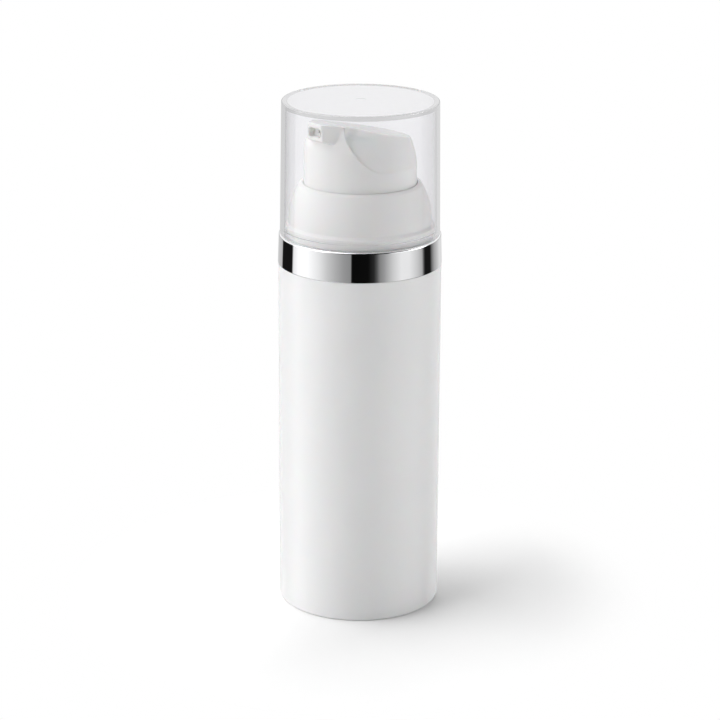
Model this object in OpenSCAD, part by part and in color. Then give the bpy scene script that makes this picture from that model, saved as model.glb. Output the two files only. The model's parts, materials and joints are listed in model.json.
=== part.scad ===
// Airless pump bottle with a clear overcap.
// Millimetres. Origin at the centre of the foot, +Z up, spout towards -Y.

/* [Bottle] */
// Outer diameter of the body
body_d = 36; // [35:0.5:46]
// Height of the body, from the floor to the trim ring
body_h = 78.4; // [66:0.2:110]
// Wall of the outer shell
shell_wall = 1.7; // [1.4:0.1:2.2]
// Wall of the outer shell's neck, inside the trim ring
shell_neck_wall = 1.65; // [1.2:0.05:1.8]
// Air gap between the outer shell and the inner bottle
air_gap = 1.9; // [1.2:0.1:3]
// Wall of the inner bottle
inner_wall = 1.2; // [0.8:0.1:1.8]
// Radius of the rounded foot edge
foot_round = 0.6; // [0.2:0.1:0.8]
// Outer diameter of the inner bottle's neck
neck_d = 22.8; // [18:0.2:23.4]
// Wall of the neck
neck_wall = 1.6; // [1.2:0.1:2]

/* [Base] */
// Depth of the base plate above the floor
base_recess = 0.5; // [0.3:0.1:1.5]
// Thickness of the base plate's rim
base_rim_t = 1.4; // [1:0.1:2]
// Thickness of the base plate's raised centre
base_plate_t = 1; // [0.8:0.1:2]
// Height of the rib round the inner bottle's end
base_rib_h = 3.5; // [2:0.1:5]
// Diameter of the air vent
vent_d = 1.5; // [1:0.1:3]

/* [Follower piston] */
// Height of the follower piston
follower_h = 13.6; // [12:0.1:18]
// Wall of the follower piston
follower_wall = 1.2; // [0.9:0.1:1.5]
// Height of each wiper lip
wiper_h = 1.6; // [1:0.1:2.5]
// How far a wiper lip stands out from the piston's wall
wiper_out = 0.63; // [0.3:0.01:0.9]

/* [Trim ring] */
// Height of the trim ring
ring_h = 6.6; // [5:0.1:9]
// Wall of the trim ring
ring_wall = 1; // [0.8:0.05:1.3]
// Thickness of the trim ring's inward lip
ring_lip = 0.8; // [0.5:0.1:1.2]
// How far the ring's lower edge stands proud of the body
ring_proud = 0.06; // [0:0.01:0.3]
// How far the ring's upper edge is drawn in
ring_taper = 0.21; // [0:0.01:0.4]

/* [Overcap] */
// Step from the body in to the overcap's foot
cap_step = 0.4; // [0.3:0.05:1]
// Wall of the overcap
cap_wall = 1.05; // [0.8:0.05:1.4]
// Thickness of the overcap's top
cap_top_t = 1.1; // [0.8:0.1:1.6]
// How far the overcap's top is drawn in for draft
cap_taper = 0.4; // [0.2:0.05:0.6]
// Room between the head and the overcap's ceiling
cap_headroom = 2.2; // [1.5:0.1:6]
// Size of the chamfer round the overcap's top
cap_chamfer = 0.35; // [0.2:0.05:0.5]
// How far the overcap lifts before it is clear
cap_lift = 35; // [30:1:60]

/* [Collar] */
// Height of the collar above the trim ring
collar_h = 11.7; // [10.5:0.1:13]
// Height of the plain band under the snap bead
collar_base_h = 1.65; // [1.2:0.05:2.2]
// Height of the snap bead
bead_h = 1.18; // [0.8:0.02:1.6]
// How far the snap bead stands out
bead_out = 0.4; // [0.2:0.05:0.6]
// Wall of the collar
collar_wall = 1.45; // [1.1:0.05:1.7]
// Width of the collar's seat on the trim ring's lip
collar_seat = 1; // [0.6:0.1:1.2]

/* [Actuator head] */
// Diameter of the head
head_d = 24.76; // [22:0.02:25.6]
// Height of the spout's top above the trim ring
head_h = 26.3; // [24:0.1:32]
// Wall of the head
head_wall = 1.2; // [0.9:0.1:1.5]
// Drop of the finger pad below the spout's top, on the axis
pad_drop = 2.9; // [2:0.1:4]
// Slope of the finger pad on the axis, in degrees
pad_slope = 13.64; // [8:0.1:18]
// Radius of the hollow along the finger pad
pad_hollow_r = 156; // [60:1:400]
// Height of the scoops' lower edge above the trim ring
scoop_z = 16.2; // [14:0.1:19]
// Radius of the scoops' corner beside the spout
scoop_r = 6.1; // [4:0.1:7]
// Distance from the axis to the scoops' front edge
scoop_front = 9.45; // [7:0.05:10.5]
// Radius of the rounding that draws in the sides and the back
taper_r = 17; // [12:0.5:40]
// Height above the trim ring at which that rounding starts
taper_z = 14.5; // [12:0.1:18]
// Height above the trim ring at which the front beside the spout starts to lean back
apron_z = 19; // [17:0.1:21]
// How far the front's top edge leans back beside the spout
apron_lean = 1.6; // [0.4:0.1:1.8]
// Reach of the spout's tip from the axis
spout_reach = 13.2; // [12.9:0.1:14]
// Width of the spout's tip
spout_w = 4.4; // [3.6:0.1:6]
// Height of the spout's tip
spout_h = 3.7; // [3:0.1:5]
// Flare of the spout's sides, in degrees from its direction
spout_flare = 37; // [30:1:45]
// Drop of the spout's underside from tip to root
spout_undercut = 1.4; // [0.4:0.1:2]
// Width of the orifice
orifice_w = 3.5; // [2:0.1:4]
// Height of the orifice
orifice_h = 1.9; // [1:0.1:2.5]
// Depth of the orifice's recess
orifice_depth = 2.5; // [1:0.1:4]
// Corner radius of the orifice
orifice_round = 0.5; // [0.3:0.05:0.9]
// Diameter of the channel through the head
channel_d = 1.8; // [1.2:0.1:2]

/* [Pump] */
// Bore of the pump barrel
bore_d = 10; // [8:0.1:12]
// Stroke of the pump
stroke = 4; // [3:0.1:5]
// Lost motion between the pump piston and the valve rod
lost_motion = 1; // [0.8:0.05:1.2]
// Lift of the inlet ball
ball_lift = 0.9; // [0.5:0.05:1.2]
// Diameter of the inlet ball
ball_d = 3; // [2.5:0.1:3.5]
// Wall of the pump housing
housing_wall = 1.2; // [1:0.1:1.4]
// Height of the housing's turret above its flange
turret_h = 3; // [2.6:0.1:4]
// Depth of the lock ring's pocket below the turret's rim
pocket_depth = 6.6; // [6:0.1:8]
// Thickness of the housing's flange
flange_t = 1.2; // [0.8:0.1:1.6]
// Diameter of the stem
stem_d = 4.4; // [4:0.1:5]
// Bore of the stem
stem_bore_d = 2.4; // [1.8:0.1:2.8]
// Length of the pump piston's sleeve
piston_l = 4.95; // [4.5:0.05:6]
// Diameter of the spring's wire
wire_d = 0.7; // [0.6:0.05:0.8]
// Number of turns of the spring
spring_turns = 6; // [4:0.5:6]

/* [Fits] */
// Running clearance of a shaft in its hole, on the radius
run_gap = 0.07; // [0.02:0.01:0.1]
// Clearance between fitted pieces that don't move, on the radius
seat_gap = 0.05; // [0.02:0.01:0.1]
// Clearance of a snap joint, on the radius
snap_gap = 0.1; // [0.05:0.01:0.15]
// Clearance between the head and the collar's hole, on the radius
head_gap = 0.55; // [0.4:0.05:0.8]
// Clearance between the overcap and the snap bead, on the radius
cap_gap = 0.17; // [0.1:0.01:0.3]
// Gap between faces that rest on each other but move apart
rest_gap = 0.03; // [0.02:0.01:0.05]
// Room left at the end of a travel
end_room = 0.6; // [0.4:0.1:1]

/* [Hidden] */
$fn = 96;
// Facets of the very wide cylinder that hollows the finger pad
pad_fn = 720;
// Overlap that makes a cut pass its face
past = 1;

// Body: radii
r_body = body_d / 2;
r_shell_bore = r_body - shell_wall;
r_ring_bore = r_body - ring_wall;
r_shell_neck = r_ring_bore - seat_gap;
r_shell_neck_bore = r_shell_neck - shell_neck_wall;
r_inner = r_shell_bore - air_gap;
r_product = r_inner - inner_wall;
r_neck = neck_d / 2;
r_neck_bore = r_neck - neck_wall;
// Overcap and collar: radii
r_cap_foot = r_body - cap_step;
r_cap_bore = r_cap_foot - cap_wall;
r_bead = r_cap_bore - cap_gap;
r_collar = r_bead - bead_out;
r_lip_bore = r_collar - collar_seat;
r_spigot = r_lip_bore - snap_gap;
// Neck closure: radii
neck_bead_out = 0.45;
r_neck_bead = r_neck + neck_bead_out;
r_closure_bore = r_neck_bead + snap_gap;
closure_wall = 1.35;
r_closure = r_closure_bore + closure_wall;
closure_bead_out = 0.35;
r_spigot_bore = r_closure + snap_gap;
// Head and pump: radii
r_head = head_d / 2;
r_hole = r_head + head_gap;
r_bore = bore_d / 2;
r_barrel = r_bore + housing_wall;
pocket_step = 1.3;
r_pocket = r_bore + pocket_step;
r_turret = r_pocket + housing_wall;
r_stem = stem_d / 2;
r_stem_hole = r_stem + run_gap;
r_lock = r_pocket - snap_gap;
lock_wall = 0.7;
boss_wall = 1;
r_boss = r_stem_hole + boss_wall;
r_coil = (r_boss + r_lock - lock_wall) / 2;
r_nose = 3.6;

// Heights of the trim ring, the collar and the overcap
z_ring = body_h + ring_h;
z_lip = z_ring - ring_lip;
z_cap = z_ring + rest_gap;
z_bead = z_ring + collar_base_h;
z_dome = z_bead + bead_h;
z_rim = z_ring + collar_h;
z_spout_top = z_ring + head_h;
z_ceiling = z_spout_top + cap_headroom;
z_cap_top = z_ceiling + cap_top_t;
// Heights of the neck stack
neck_drop = 0.4;
gasket_t = 0.8;
closure_top_t = 1.2;
z_neck = z_ring - neck_drop;
z_flange = z_neck + gasket_t;
z_flange_top = z_flange + flange_t;
z_closure_top = z_flange_top + closure_top_t;
z_turret = z_flange_top + turret_h;
z_pocket = z_turret - pocket_depth;
// Heights of the inner bottle
shoulder_drop = 1.8;
shoulder_flange_t = 1.6;
shoulder_rise = 1.3;
shoulder_t = 1.7;
z_shoulder = body_h - shoulder_drop;
z_shoulder_under = z_shoulder - shoulder_t;
z_base_rim = base_recess + base_rim_t;
z_inner = z_base_rim + base_plate_t;
// Heights inside the pump
lock_floor_t = 1.1;
stop_t = 0.97;
z_lock = z_pocket + gasket_t;
z_spring = z_lock + lock_floor_t;
spring_solid_room = 6.3;
spring_len = stroke + spring_solid_room;
z_seat = z_spring + spring_len;
seat_t = 0.8;
z_hub = z_seat + seat_t + rest_gap;
stem_tip = 4.5;
z_stem_tip = z_hub + stem_tip;
z_stop = z_pocket - rest_gap - stop_t;
z_valve = z_stop - lost_motion - piston_l - 2 * rest_gap;
valve_t = 1;
z_floor = z_valve - valve_t - stroke - end_room;
cage_t = 0.9;
z_cage = z_floor - cage_t;
ball_r = ball_d / 2;
seat_r = ball_r - 0.6;
ball_side_gap = 0.4;
z_ball = z_cage - 0.15 - ball_lift - ball_r;
// A ball on a 45 degree seat touches it at sin 45 of its radius
z_cone = z_ball - rest_gap - sqrt(2) * ball_r + seat_r;
cone_h = ball_r + ball_side_gap - seat_r;
inlet_l = 1.4;
z_nose = z_cone - inlet_l;
// The follower piston stops a little under the shoulder, with the nose in its cup
follower_floor_t = 1.4;
follower_clear = 1.1;
r_cup = r_turret + follower_clear;
z_follower = z_inner + follower_clear;
z_follower_top = z_follower + follower_h;
cup_depth = z_shoulder_under - z_nose - 0.2;
z_cup = z_follower_top - cup_depth;
r_follower = r_product - run_gap - wiper_out;
// The head
skirt_gap = 0.4;
z_skirt = z_closure_top + stroke + skirt_gap;
z_scoop = z_ring + scoop_z;
z_taper = z_ring + taper_z;
z_apron = z_ring + apron_z;
z_pad = z_spout_top - pad_drop;
pad_top_t = 1.6;
hub_wall = 1.75;
r_hub = r_stem_hole + hub_wall;
boss_d = channel_d + 2.4;
z_orifice = z_spout_top - spout_h / 2;
channel_low = 1.2;

// Half-section rectangle between two radii and two heights
module band(r_in, r_out, z_low, z_high) {
    translate([r_in, z_low]) square([r_out - r_in, z_high - z_low]);
}

// Turns a half-section about the axis
module turned() {
    rotate_extrude() children();
}

// Half-section of a ring with sloping shoulders, that stands out from a wall
module bead(r_wall, out, z_low, z_high) {
    slope = min(out, (z_high - z_low) / 3);
    polygon([[r_wall - 0.3, z_low], [r_wall, z_low], [r_wall + out, z_low + slope],
        [r_wall + out, z_high - slope], [r_wall, z_high], [r_wall - 0.3, z_high]]);
}

// Clear cap with a drafted wall and a flat top
module overcap() {
    r_top = r_cap_foot - cap_taper;
    inner_snap_h = 0.6;
    snap_z = z_cap + 0.8;
    color([0.93, 0.93, 0.97, 0.4]) turned() {
        difference() {
            polygon([[0, z_cap], [r_cap_foot, z_cap], [r_top, z_cap_top - cap_chamfer],
                [r_top - cap_chamfer, z_cap_top], [0, z_cap_top]]);
            polygon([[0, z_cap - past], [r_cap_bore, z_cap - past], [r_cap_bore, z_cap],
                [r_cap_bore - cap_taper, z_ceiling], [0, z_ceiling]]);
        }
        // Low inner ridge that clicks under the collar's bead
        polygon([[r_cap_bore + cap_wall / 3, snap_z], [r_cap_bore + cap_wall / 3, snap_z + inner_snap_h],
            [r_bead + 2 * rest_gap, snap_z + inner_snap_h * 2 / 3],
            [r_bead + 2 * rest_gap, snap_z + inner_snap_h / 3]]);
    }
}

// Outline of the head's drawn-in core, made smaller by an inset
module core_outline(inset) {
    intersection() {
        translate([r_head - taper_r, z_taper]) circle(taper_r - inset);
        band(0, r_head + past, z_taper, z_spout_top + past);
    }
}

// Everything under the finger pad's hollow and the spout's flat top, lowered by a depth
module under_pad(depth) {
    hollow_y = pad_hollow_r * sin(pad_slope);
    hollow_z = z_pad + pad_hollow_r * cos(pad_slope);
    difference() {
        translate([-r_body, -r_body, z_skirt - past])
            cube([2 * r_body, 2 * r_body, z_spout_top - depth - z_skirt + past]);
        translate([-2 * r_body, hollow_y, hollow_z]) rotate([0, 90, 0])
            cylinder(h = 4 * r_body, r = pad_hollow_r + depth, $fn = pad_fn);
    }
}

// Half-section of the head's full width, whose front leans back beside the spout
module block_outline() {
    top = z_spout_top + past;
    lean_h = top - z_apron;
    curve = [[0.14, 0.06], [0.27, 0.2], [0.41, 0.45], [0.55, 0.67], [0.69, 0.8], [1, 1]];
    polygon(concat([[0, z_skirt], [r_head, z_skirt], [r_head, z_apron]],
        [for (p = curve) [r_head - apron_lean * p[1], z_apron + lean_h * p[0]]], [[0, top]]));
}

// Full-width part of the head, seen from the side: all below the scoops, and the front
module side_block() {
    front = -scoop_front;
    corner_y = front + scoop_r;
    corner_z = z_scoop + scoop_r;
    translate([-r_body, 0, 0]) rotate([90, 0, 90]) linear_extrude(2 * r_body) difference() {
        translate([-r_body, z_skirt]) square([2 * r_body, z_spout_top + past - z_skirt]);
        translate([corner_y, corner_z]) circle(scoop_r);
        translate([front, corner_z]) square([2 * r_body, z_spout_top]);
        translate([corner_y, z_scoop]) square([2 * r_body, z_spout_top]);
    }
}

// Flared block of the spout, with a sloping underside
module spout_block() {
    half = spout_w / 2;
    dir = [sin(spout_flare), cos(spout_flare)];
    r_front = r_head - apron_lean;
    // Where the flared side meets the leaning front, from a point on the side and its direction
    along = -(half * dir[0] - spout_reach * dir[1]);
    to_head = along - sqrt(max(0, along * along - (half * half + spout_reach * spout_reach - r_front * r_front)));
    root = [half, -spout_reach] + (to_head + 0.6) * dir;
    root_z = z_spout_top - spout_h - spout_undercut;
    intersection() {
        translate([0, 0, root_z - past]) linear_extrude(spout_h + spout_undercut + 2 * past)
            polygon([[-half, -spout_reach], [half, -spout_reach], root, [root[0], -r_head / 2],
                [-root[0], -r_head / 2], [-root[0], root[1]]]);
        translate([-r_body, 0, 0]) rotate([90, 0, 90]) linear_extrude(2 * r_body)
            polygon([[-spout_reach, z_spout_top - spout_h], [root[1], root_z], [-r_head / 2, root_z],
                [-r_head / 2, z_spout_top + past / 2], [-spout_reach, z_spout_top + past / 2]]);
    }
}

// Oblong opening of the spout with round corners
module orifice() {
    translate([0, -spout_reach - past, z_orifice]) rotate([-90, 0, 0])
        linear_extrude(orifice_depth + past) {
            square([orifice_w - 2 * orifice_round, orifice_h], center = true);
            square([orifice_w, orifice_h - 2 * orifice_round], center = true);
            for (x = [-1, 1], y = [-1, 1])
                translate([x * (orifice_w / 2 - orifice_round), y * (orifice_h / 2 - orifice_round)])
                    circle(orifice_round);
        }
}

// Runs a rod of a diameter from the socket's top to the orifice
module channel(d) {
    low = [0, 0, z_stem_tip + channel_low];
    high = [0, -spout_reach + orifice_depth - 0.2, z_orifice];
    run = high - low;
    tilt = atan2(norm([run[0], run[1]]), run[2]);
    translate(low) rotate([tilt, 0, 0]) cylinder(h = norm(run), d = d);
}

// Press head: cylinder, drawn-in core, scoops, hollow finger pad and spout
module actuator_head() {
    color([0.95, 0.95, 0.94]) difference() {
        intersection() {
            union() {
                intersection() {
                    turned() block_outline();
                    side_block();
                }
                turned() intersection() {
                    core_outline(0);
                    band(0, r_body, (z_taper + z_scoop) / 2, z_spout_top + past);
                }
                spout_block();
            }
            under_pad(0);
        }
        // Hollow underside, round the hub and the channel's boss
        difference() {
            intersection() {
                turned() {
                    core_outline(head_wall);
                    band(0, r_head - head_wall, z_skirt - past, z_taper);
                }
                under_pad(pad_top_t);
            }
            translate([0, 0, z_hub]) cylinder(h = head_h, r = r_hub);
            channel(boss_d);
        }
        // Socket for the stem, and the channel to the orifice
        translate([0, 0, z_hub - past]) cylinder(h = z_stem_tip - z_hub + past, r = r_stem_hole);
        translate([0, 0, z_stem_tip - past]) cylinder(h = channel_low + past, d = channel_d);
        channel(channel_d);
        orifice();
    }
}

// Domed collar: spigot, seat, snap bead and spherical dome with the head's hole
module collar_shroud() {
    r_dome = r_collar - 0.03;
    dome_z = z_ring + 3;
    spigot_l = 5.2;
    groove_z = z_ring - 2;
    color([0.95, 0.95, 0.94]) turned() difference() {
        union() {
            band(0, r_spigot, z_ring - spigot_l, z_bead);
            band(0, r_collar, z_ring, z_dome);
            bead(r_collar, bead_out, z_bead, z_dome + bead_out / 3);
            intersection() {
                translate([0, dome_z]) circle(r_dome);
                band(0, r_body, z_dome - 0.2, z_rim);
            }
        }
        band(0, r_spigot_bore, z_ring - spigot_l - past, z_dome);
        bead(r_spigot_bore, closure_bead_out, groove_z - 0.6, groove_z + 0.6);
        intersection() {
            translate([0, dome_z]) circle(r_dome - collar_wall);
            band(0, r_body, z_bead + 0.3, z_rim - collar_wall);
        }
        band(0, r_hole, z_dome, z_rim + past);
    }
}

// Metallised ring with an inward lip under the collar
module trim_ring() {
    color([0.8, 0.81, 0.84]) turned() difference() {
        polygon([[0, body_h], [r_body + ring_proud, body_h], [r_body + ring_proud - ring_taper, z_ring],
            [0, z_ring]]);
        band(0, r_ring_bore, body_h - past, z_lip);
        band(0, r_lip_bore, z_lip - past, z_ring + past);
    }
}

// Outer shell: rounded foot, straight wall, step for the inner bottle and a neck
module outer_shell() {
    color([0.93, 0.93, 0.93]) turned() difference() {
        union() {
            band(0, r_body, foot_round, body_h);
            band(0, r_body - foot_round, 0, body_h);
            translate([r_body - foot_round, foot_round]) circle(foot_round);
            band(0, r_shell_neck, body_h - past, z_lip);
        }
        band(0, r_shell_bore, -past, z_shoulder);
        band(0, r_shell_neck_bore, z_shoulder - past, z_lip + past);
        band(0, r_shell_bore + base_lap, -past, z_base_rim);
    }
}

// How far the base plate's rim laps under the shell's wall
base_lap = 0.6;

// Inner bottle: straight bore, flange under the shell's step, shoulder and snap neck
module inner_bottle() {
    r_flange = r_shell_bore - snap_gap;
    r_land = r_shell_neck_bore - 2 * snap_gap;
    bead_z = z_neck - 2;
    color([0.9, 0.9, 0.88]) turned() difference() {
        union() {
            band(0, r_inner, z_inner, z_shoulder);
            band(0, r_flange, z_shoulder - shoulder_flange_t, z_shoulder);
            polygon([[0, z_shoulder - past], [r_land, z_shoulder - past], [r_land, z_shoulder],
                [r_neck, z_shoulder + shoulder_rise], [0, z_shoulder + shoulder_rise]]);
            band(0, r_neck, z_shoulder, z_neck);
            bead(r_neck, neck_bead_out, bead_z, bead_z + 0.9);
        }
        polygon([[0, z_inner - past], [r_product, z_inner - past], [r_product, z_shoulder_under],
            [r_neck_bore, z_shoulder_under + shoulder_rise], [0, z_shoulder_under + shoulder_rise]]);
        band(0, r_neck_bore, z_shoulder_under, z_neck + past);
    }
}

// Base plate with a rib round the inner bottle's end and a central air vent
module base_plate() {
    r_rim = r_shell_bore + base_lap - seat_gap;
    r_rib = r_inner + snap_gap;
    rib_t = min(1, air_gap / 2);
    color([0.9, 0.9, 0.9]) turned() difference() {
        union() {
            band(vent_d / 2, r_rim, base_recess, z_base_rim);
            band(vent_d / 2, r_shell_bore - seat_gap, z_base_rim - 0.5, z_inner);
            band(r_rib, r_rib + rib_t, z_base_rim, z_inner + base_rib_h);
        }
        // Shallow relief ring in the underside
        band(r_product / 3, r_product * 0.8, base_recess - past, base_recess + base_rim_t / 4);
    }
}

// Follower piston: wall with two wiper lips, and a cup that clears the pump
module follower_piston() {
    wiper_r = r_follower + wiper_out;
    color([0.88, 0.9, 0.92]) turned() difference() {
        polygon([[0, z_follower], [wiper_r, z_follower], [r_follower, z_follower + wiper_h],
            [r_follower, z_follower_top - wiper_h], [wiper_r, z_follower_top], [0, z_follower_top]]);
        band(0, r_cup, z_cup, z_follower_top + past);
        band(r_cup + follower_wall, r_follower - follower_wall, z_follower - past, z_follower_top - follower_floor_t);
        band(0, r_cup + follower_wall + 0.1, z_follower - past, z_cup - follower_floor_t);
    }
}

// Snap ring that clamps the pump's flange on the neck
module neck_closure() {
    closure_l = 8.2;
    hook_top = z_neck - 2.4;
    bead_z = z_ring - 2;
    color([0.85, 0.87, 0.9]) turned() difference() {
        union() {
            band(0, r_closure, z_closure_top - closure_l, z_closure_top);
            bead(r_closure, closure_bead_out - snap_gap, bead_z - 0.45, bead_z + 0.45);
        }
        band(0, r_closure_bore, hook_top, z_flange_top);
        band(0, r_neck + snap_gap, z_closure_top - closure_l - past, z_flange);
        band(0, r_turret + snap_gap, z_flange, z_closure_top + past);
    }
}

// Flat seal between the pump's flange and the neck
module neck_gasket() {
    color([0.3, 0.3, 0.32]) turned() band(r_turret + snap_gap, r_neck - snap_gap, z_neck, z_flange);
}

// Pump housing: turret, flange, barrel and inlet nose with the ball's seat
module pump_housing() {
    groove_z = z_turret - 1.8;
    color([0.92, 0.92, 0.92]) turned() difference() {
        union() {
            band(0, r_turret, z_pocket - 1.2, z_turret);
            band(0, r_neck - snap_gap, z_flange, z_flange_top);
            band(0, r_barrel, z_cage, z_turret);
            band(0, r_nose, z_nose, z_floor);
        }
        band(0, r_pocket, z_pocket, z_turret + past);
        bead(r_pocket, 0.32, groove_z - 0.6, groove_z + 0.6);
        band(0, r_bore, z_floor, z_pocket + past);
        band(0, r_cage_pocket, z_cage, z_floor + past);
        band(0, ball_r + ball_side_gap, z_cone + cone_h, z_cage + past);
        polygon([[0, z_cone - past], [seat_r, z_cone - past], [seat_r, z_cone],
            [seat_r + cone_h, z_cone + cone_h], [0, z_cone + cone_h]]);
        band(0, seat_r, z_nose - past, z_cone);
    }
}

// Radius of the pocket that holds the ball cage
r_cage_pocket = ball_r + 1.5;

// Lock ring: floor, guide boss, wall and a snap bead in the housing's groove
module lock_ring() {
    bead_z = z_turret - 1.8;
    wall_drop = 0.3;
    boss_h = 2.7;
    color([0.9, 0.9, 0.9]) turned() difference() {
        union() {
            band(0, r_lock, z_lock, z_turret - wall_drop);
            bead(r_lock, 0.32 - snap_gap / 2, bead_z - 0.5, bead_z + 0.5);
        }
        band(r_boss, r_lock - lock_wall, z_spring, z_turret + past);
        band(0, r_boss + 0.1, z_spring + boss_h, z_turret + past);
        band(0, r_stem_hole, z_lock - past, z_turret + past);
    }
}

// Seal clamped between the lock ring and the housing's ledge
module stem_gasket() {
    color([0.3, 0.3, 0.32]) turned() band(r_stem_hole + run_gap, r_lock, z_pocket, z_lock);
}

// Radius of the valve rod's spigot
r_spigot_rod = (stem_bore_d / 2 + r_stem) / 2 - 0.25;
// Length of the valve rod's spigot in the stem
spigot_rod_l = 4;

// Upper stem: stop collar at its foot, tube up to the head's socket
module stem() {
    r_stop = r_boss + 0.1;
    color([0.9, 0.9, 0.9]) turned() difference() {
        union() {
            band(0, r_stop, z_stop, z_stop + stop_t);
            band(0, r_stem, z_stop, z_stem_tip - rest_gap);
        }
        band(0, stem_bore_d / 2, z_stop - past, z_stem_tip + past);
        band(0, r_spigot_rod + seat_gap, z_stop - past, z_stop + spigot_rod_l + rest_gap);
    }
}

// Valve rod: seat disc, shaft with a cross port, and a spigot in the stem
module valve_rod() {
    r_valve = r_bore - 1.1;
    rod_bore_r = 0.8;
    port_r = 0.45;
    port_z = z_valve + rest_gap + 0.15 + port_r;
    color([0.86, 0.88, 0.9]) difference() {
        turned() difference() {
            union() {
                polygon([[0, z_valve - valve_t], [r_valve - 1, z_valve - valve_t], [r_valve, z_valve - valve_t / 2],
                    [r_valve, z_valve], [0, z_valve]]);
                band(0, r_stem, z_valve - valve_t / 2, z_stop);
                band(0, r_spigot_rod, z_stop - past, z_stop + spigot_rod_l);
            }
            band(0, rod_bore_r, z_valve - 0.1, z_stop + spigot_rod_l + past);
        }
        translate([0, 0, port_z]) rotate([90, 0, 0]) cylinder(h = 2 * r_bore, r = port_r, center = true);
    }
}

// Flanged ring on the stem, which the spring pushes
module spring_seat() {
    seat_hub_l = 1.6;
    color([0.88, 0.88, 0.9]) turned() difference() {
        union() {
            band(0, r_coil + wire_d, z_seat, z_seat + seat_t);
            band(0, r_coil - wire_d / 2 - 0.4, z_seat - seat_hub_l, z_seat);
        }
        band(0, r_stem + seat_gap, z_seat - seat_hub_l - past, z_seat + seat_t + past);
    }
}

// Pump piston: sleeve that shuts the ports, web and double lip in the bore
module pump_piston() {
    sleeve_wall = 0.95;
    lip_wall = 0.65;
    web_t = 0.9;
    r_lip = r_bore - run_gap;
    z_low = z_valve + rest_gap;
    web_z = z_low + piston_l * 0.35;
    color([0.85, 0.9, 0.95]) turned() difference() {
        union() {
            band(0, r_stem_hole + sleeve_wall, z_low, z_low + piston_l);
            band(0, r_lip - lip_wall / 2, web_z, web_z + web_t);
            difference() {
                band(0, r_lip, z_low + 0.3, z_low + piston_l - 0.4);
                band(0, r_lip - lip_wall, z_low - past, z_low + piston_l + past);
            }
        }
        band(0, r_stem_hole, z_low - past, z_low + piston_l + past);
    }
}

// Sides of the wire and steps in each turn of the spring
wire_sides = 6;
turn_steps = 20;
// How much closer the end turns lie than the middle ones
end_turn_squeeze = 0.28;

// Height of the wire's centre at a share of the spring's length
function wire_z(u) =
    let (low = z_spring + wire_d / 2 + rest_gap, high = z_seat - wire_d / 2 - rest_gap)
    low + (high - low) * (u - end_turn_squeeze * sin(360 * u) / (2 * PI));

// Ring of points round the wire's centre at a share of the spring's length
function wire_ring(u) =
    let (turn = 360 * spring_turns * u)
    [for (k = [0:wire_sides - 1])
        let (a = 360 * k / wire_sides, r = r_coil + wire_d / 2 * cos(a))
        [r * cos(turn), r * sin(turn), wire_z(u) + wire_d / 2 * sin(a)]];

// Coil spring as one swept tube
module return_spring() {
    steps = round(spring_turns * turn_steps);
    points = [for (i = [0:steps]) each wire_ring(i / steps)];
    sides = [for (i = [0:steps - 1], k = [0:wire_sides - 1])
        let (a = i * wire_sides + k, b = i * wire_sides + (k + 1) % wire_sides, up = wire_sides)
        each [[a, a + up, b], [b, a + up, b + up]]];
    first_end = [for (k = [1:wire_sides - 2]) [0, k, k + 1]];
    last = steps * wire_sides;
    last_end = [for (k = [1:wire_sides - 2]) [last, last + k + 1, last + k]];
    end_pitch = wire_z(1 / spring_turns) - wire_z(0);
    echo(least_gap_between_turns = end_pitch - wire_d);
    color([0.75, 0.76, 0.78]) polyhedron(points, concat(sides, first_end, last_end));
}

// Ball of the inlet valve
module inlet_ball() {
    color([0.8, 0.81, 0.83]) translate([0, 0, z_ball]) sphere(ball_r);
}

// Ring with a bar across it that keeps the ball in its pocket
module ball_cage() {
    r_cage = r_cage_pocket - seat_gap;
    bar_w = 0.8;
    color([0.85, 0.87, 0.9]) translate([0, 0, z_cage]) {
        difference() {
            cylinder(h = cage_t, r = r_cage);
            translate([0, 0, -past]) cylinder(h = cage_t + 2 * past, r = r_cage - 0.9);
        }
        intersection() {
            translate([-r_cage, -bar_w / 2, 0]) cube([2 * r_cage, bar_w, cage_t]);
            cylinder(h = cage_t, r = r_cage - 0.4);
        }
    }
}

overcap();
actuator_head();
collar_shroud();
trim_ring();
outer_shell();
inner_bottle();
base_plate();
follower_piston();
neck_closure();
neck_gasket();
pump_housing();
lock_ring();
stem_gasket();
stem();
valve_rod();
spring_seat();
pump_piston();
return_spring();
inlet_ball();
ball_cage();
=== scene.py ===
"""Studio photograph of a clear-capped airless pump bottle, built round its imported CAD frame.

The CAD nodes fix where everything is. The pieces that can be seen from outside are made again here
as finer surfaces with rounded edges, and ride on the same CAD bodies. Lengths are millimetres in
the row frame: the foot's centre at the origin, +Z up, the spout towards -Y. Angles are degrees.
"""

from __future__ import annotations

import json
import logging
import math
from dataclasses import dataclass, field
from enum import Enum
from typing import Callable, Optional, Union

import bpy
import numpy as np
from mathutils import Matrix

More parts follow.
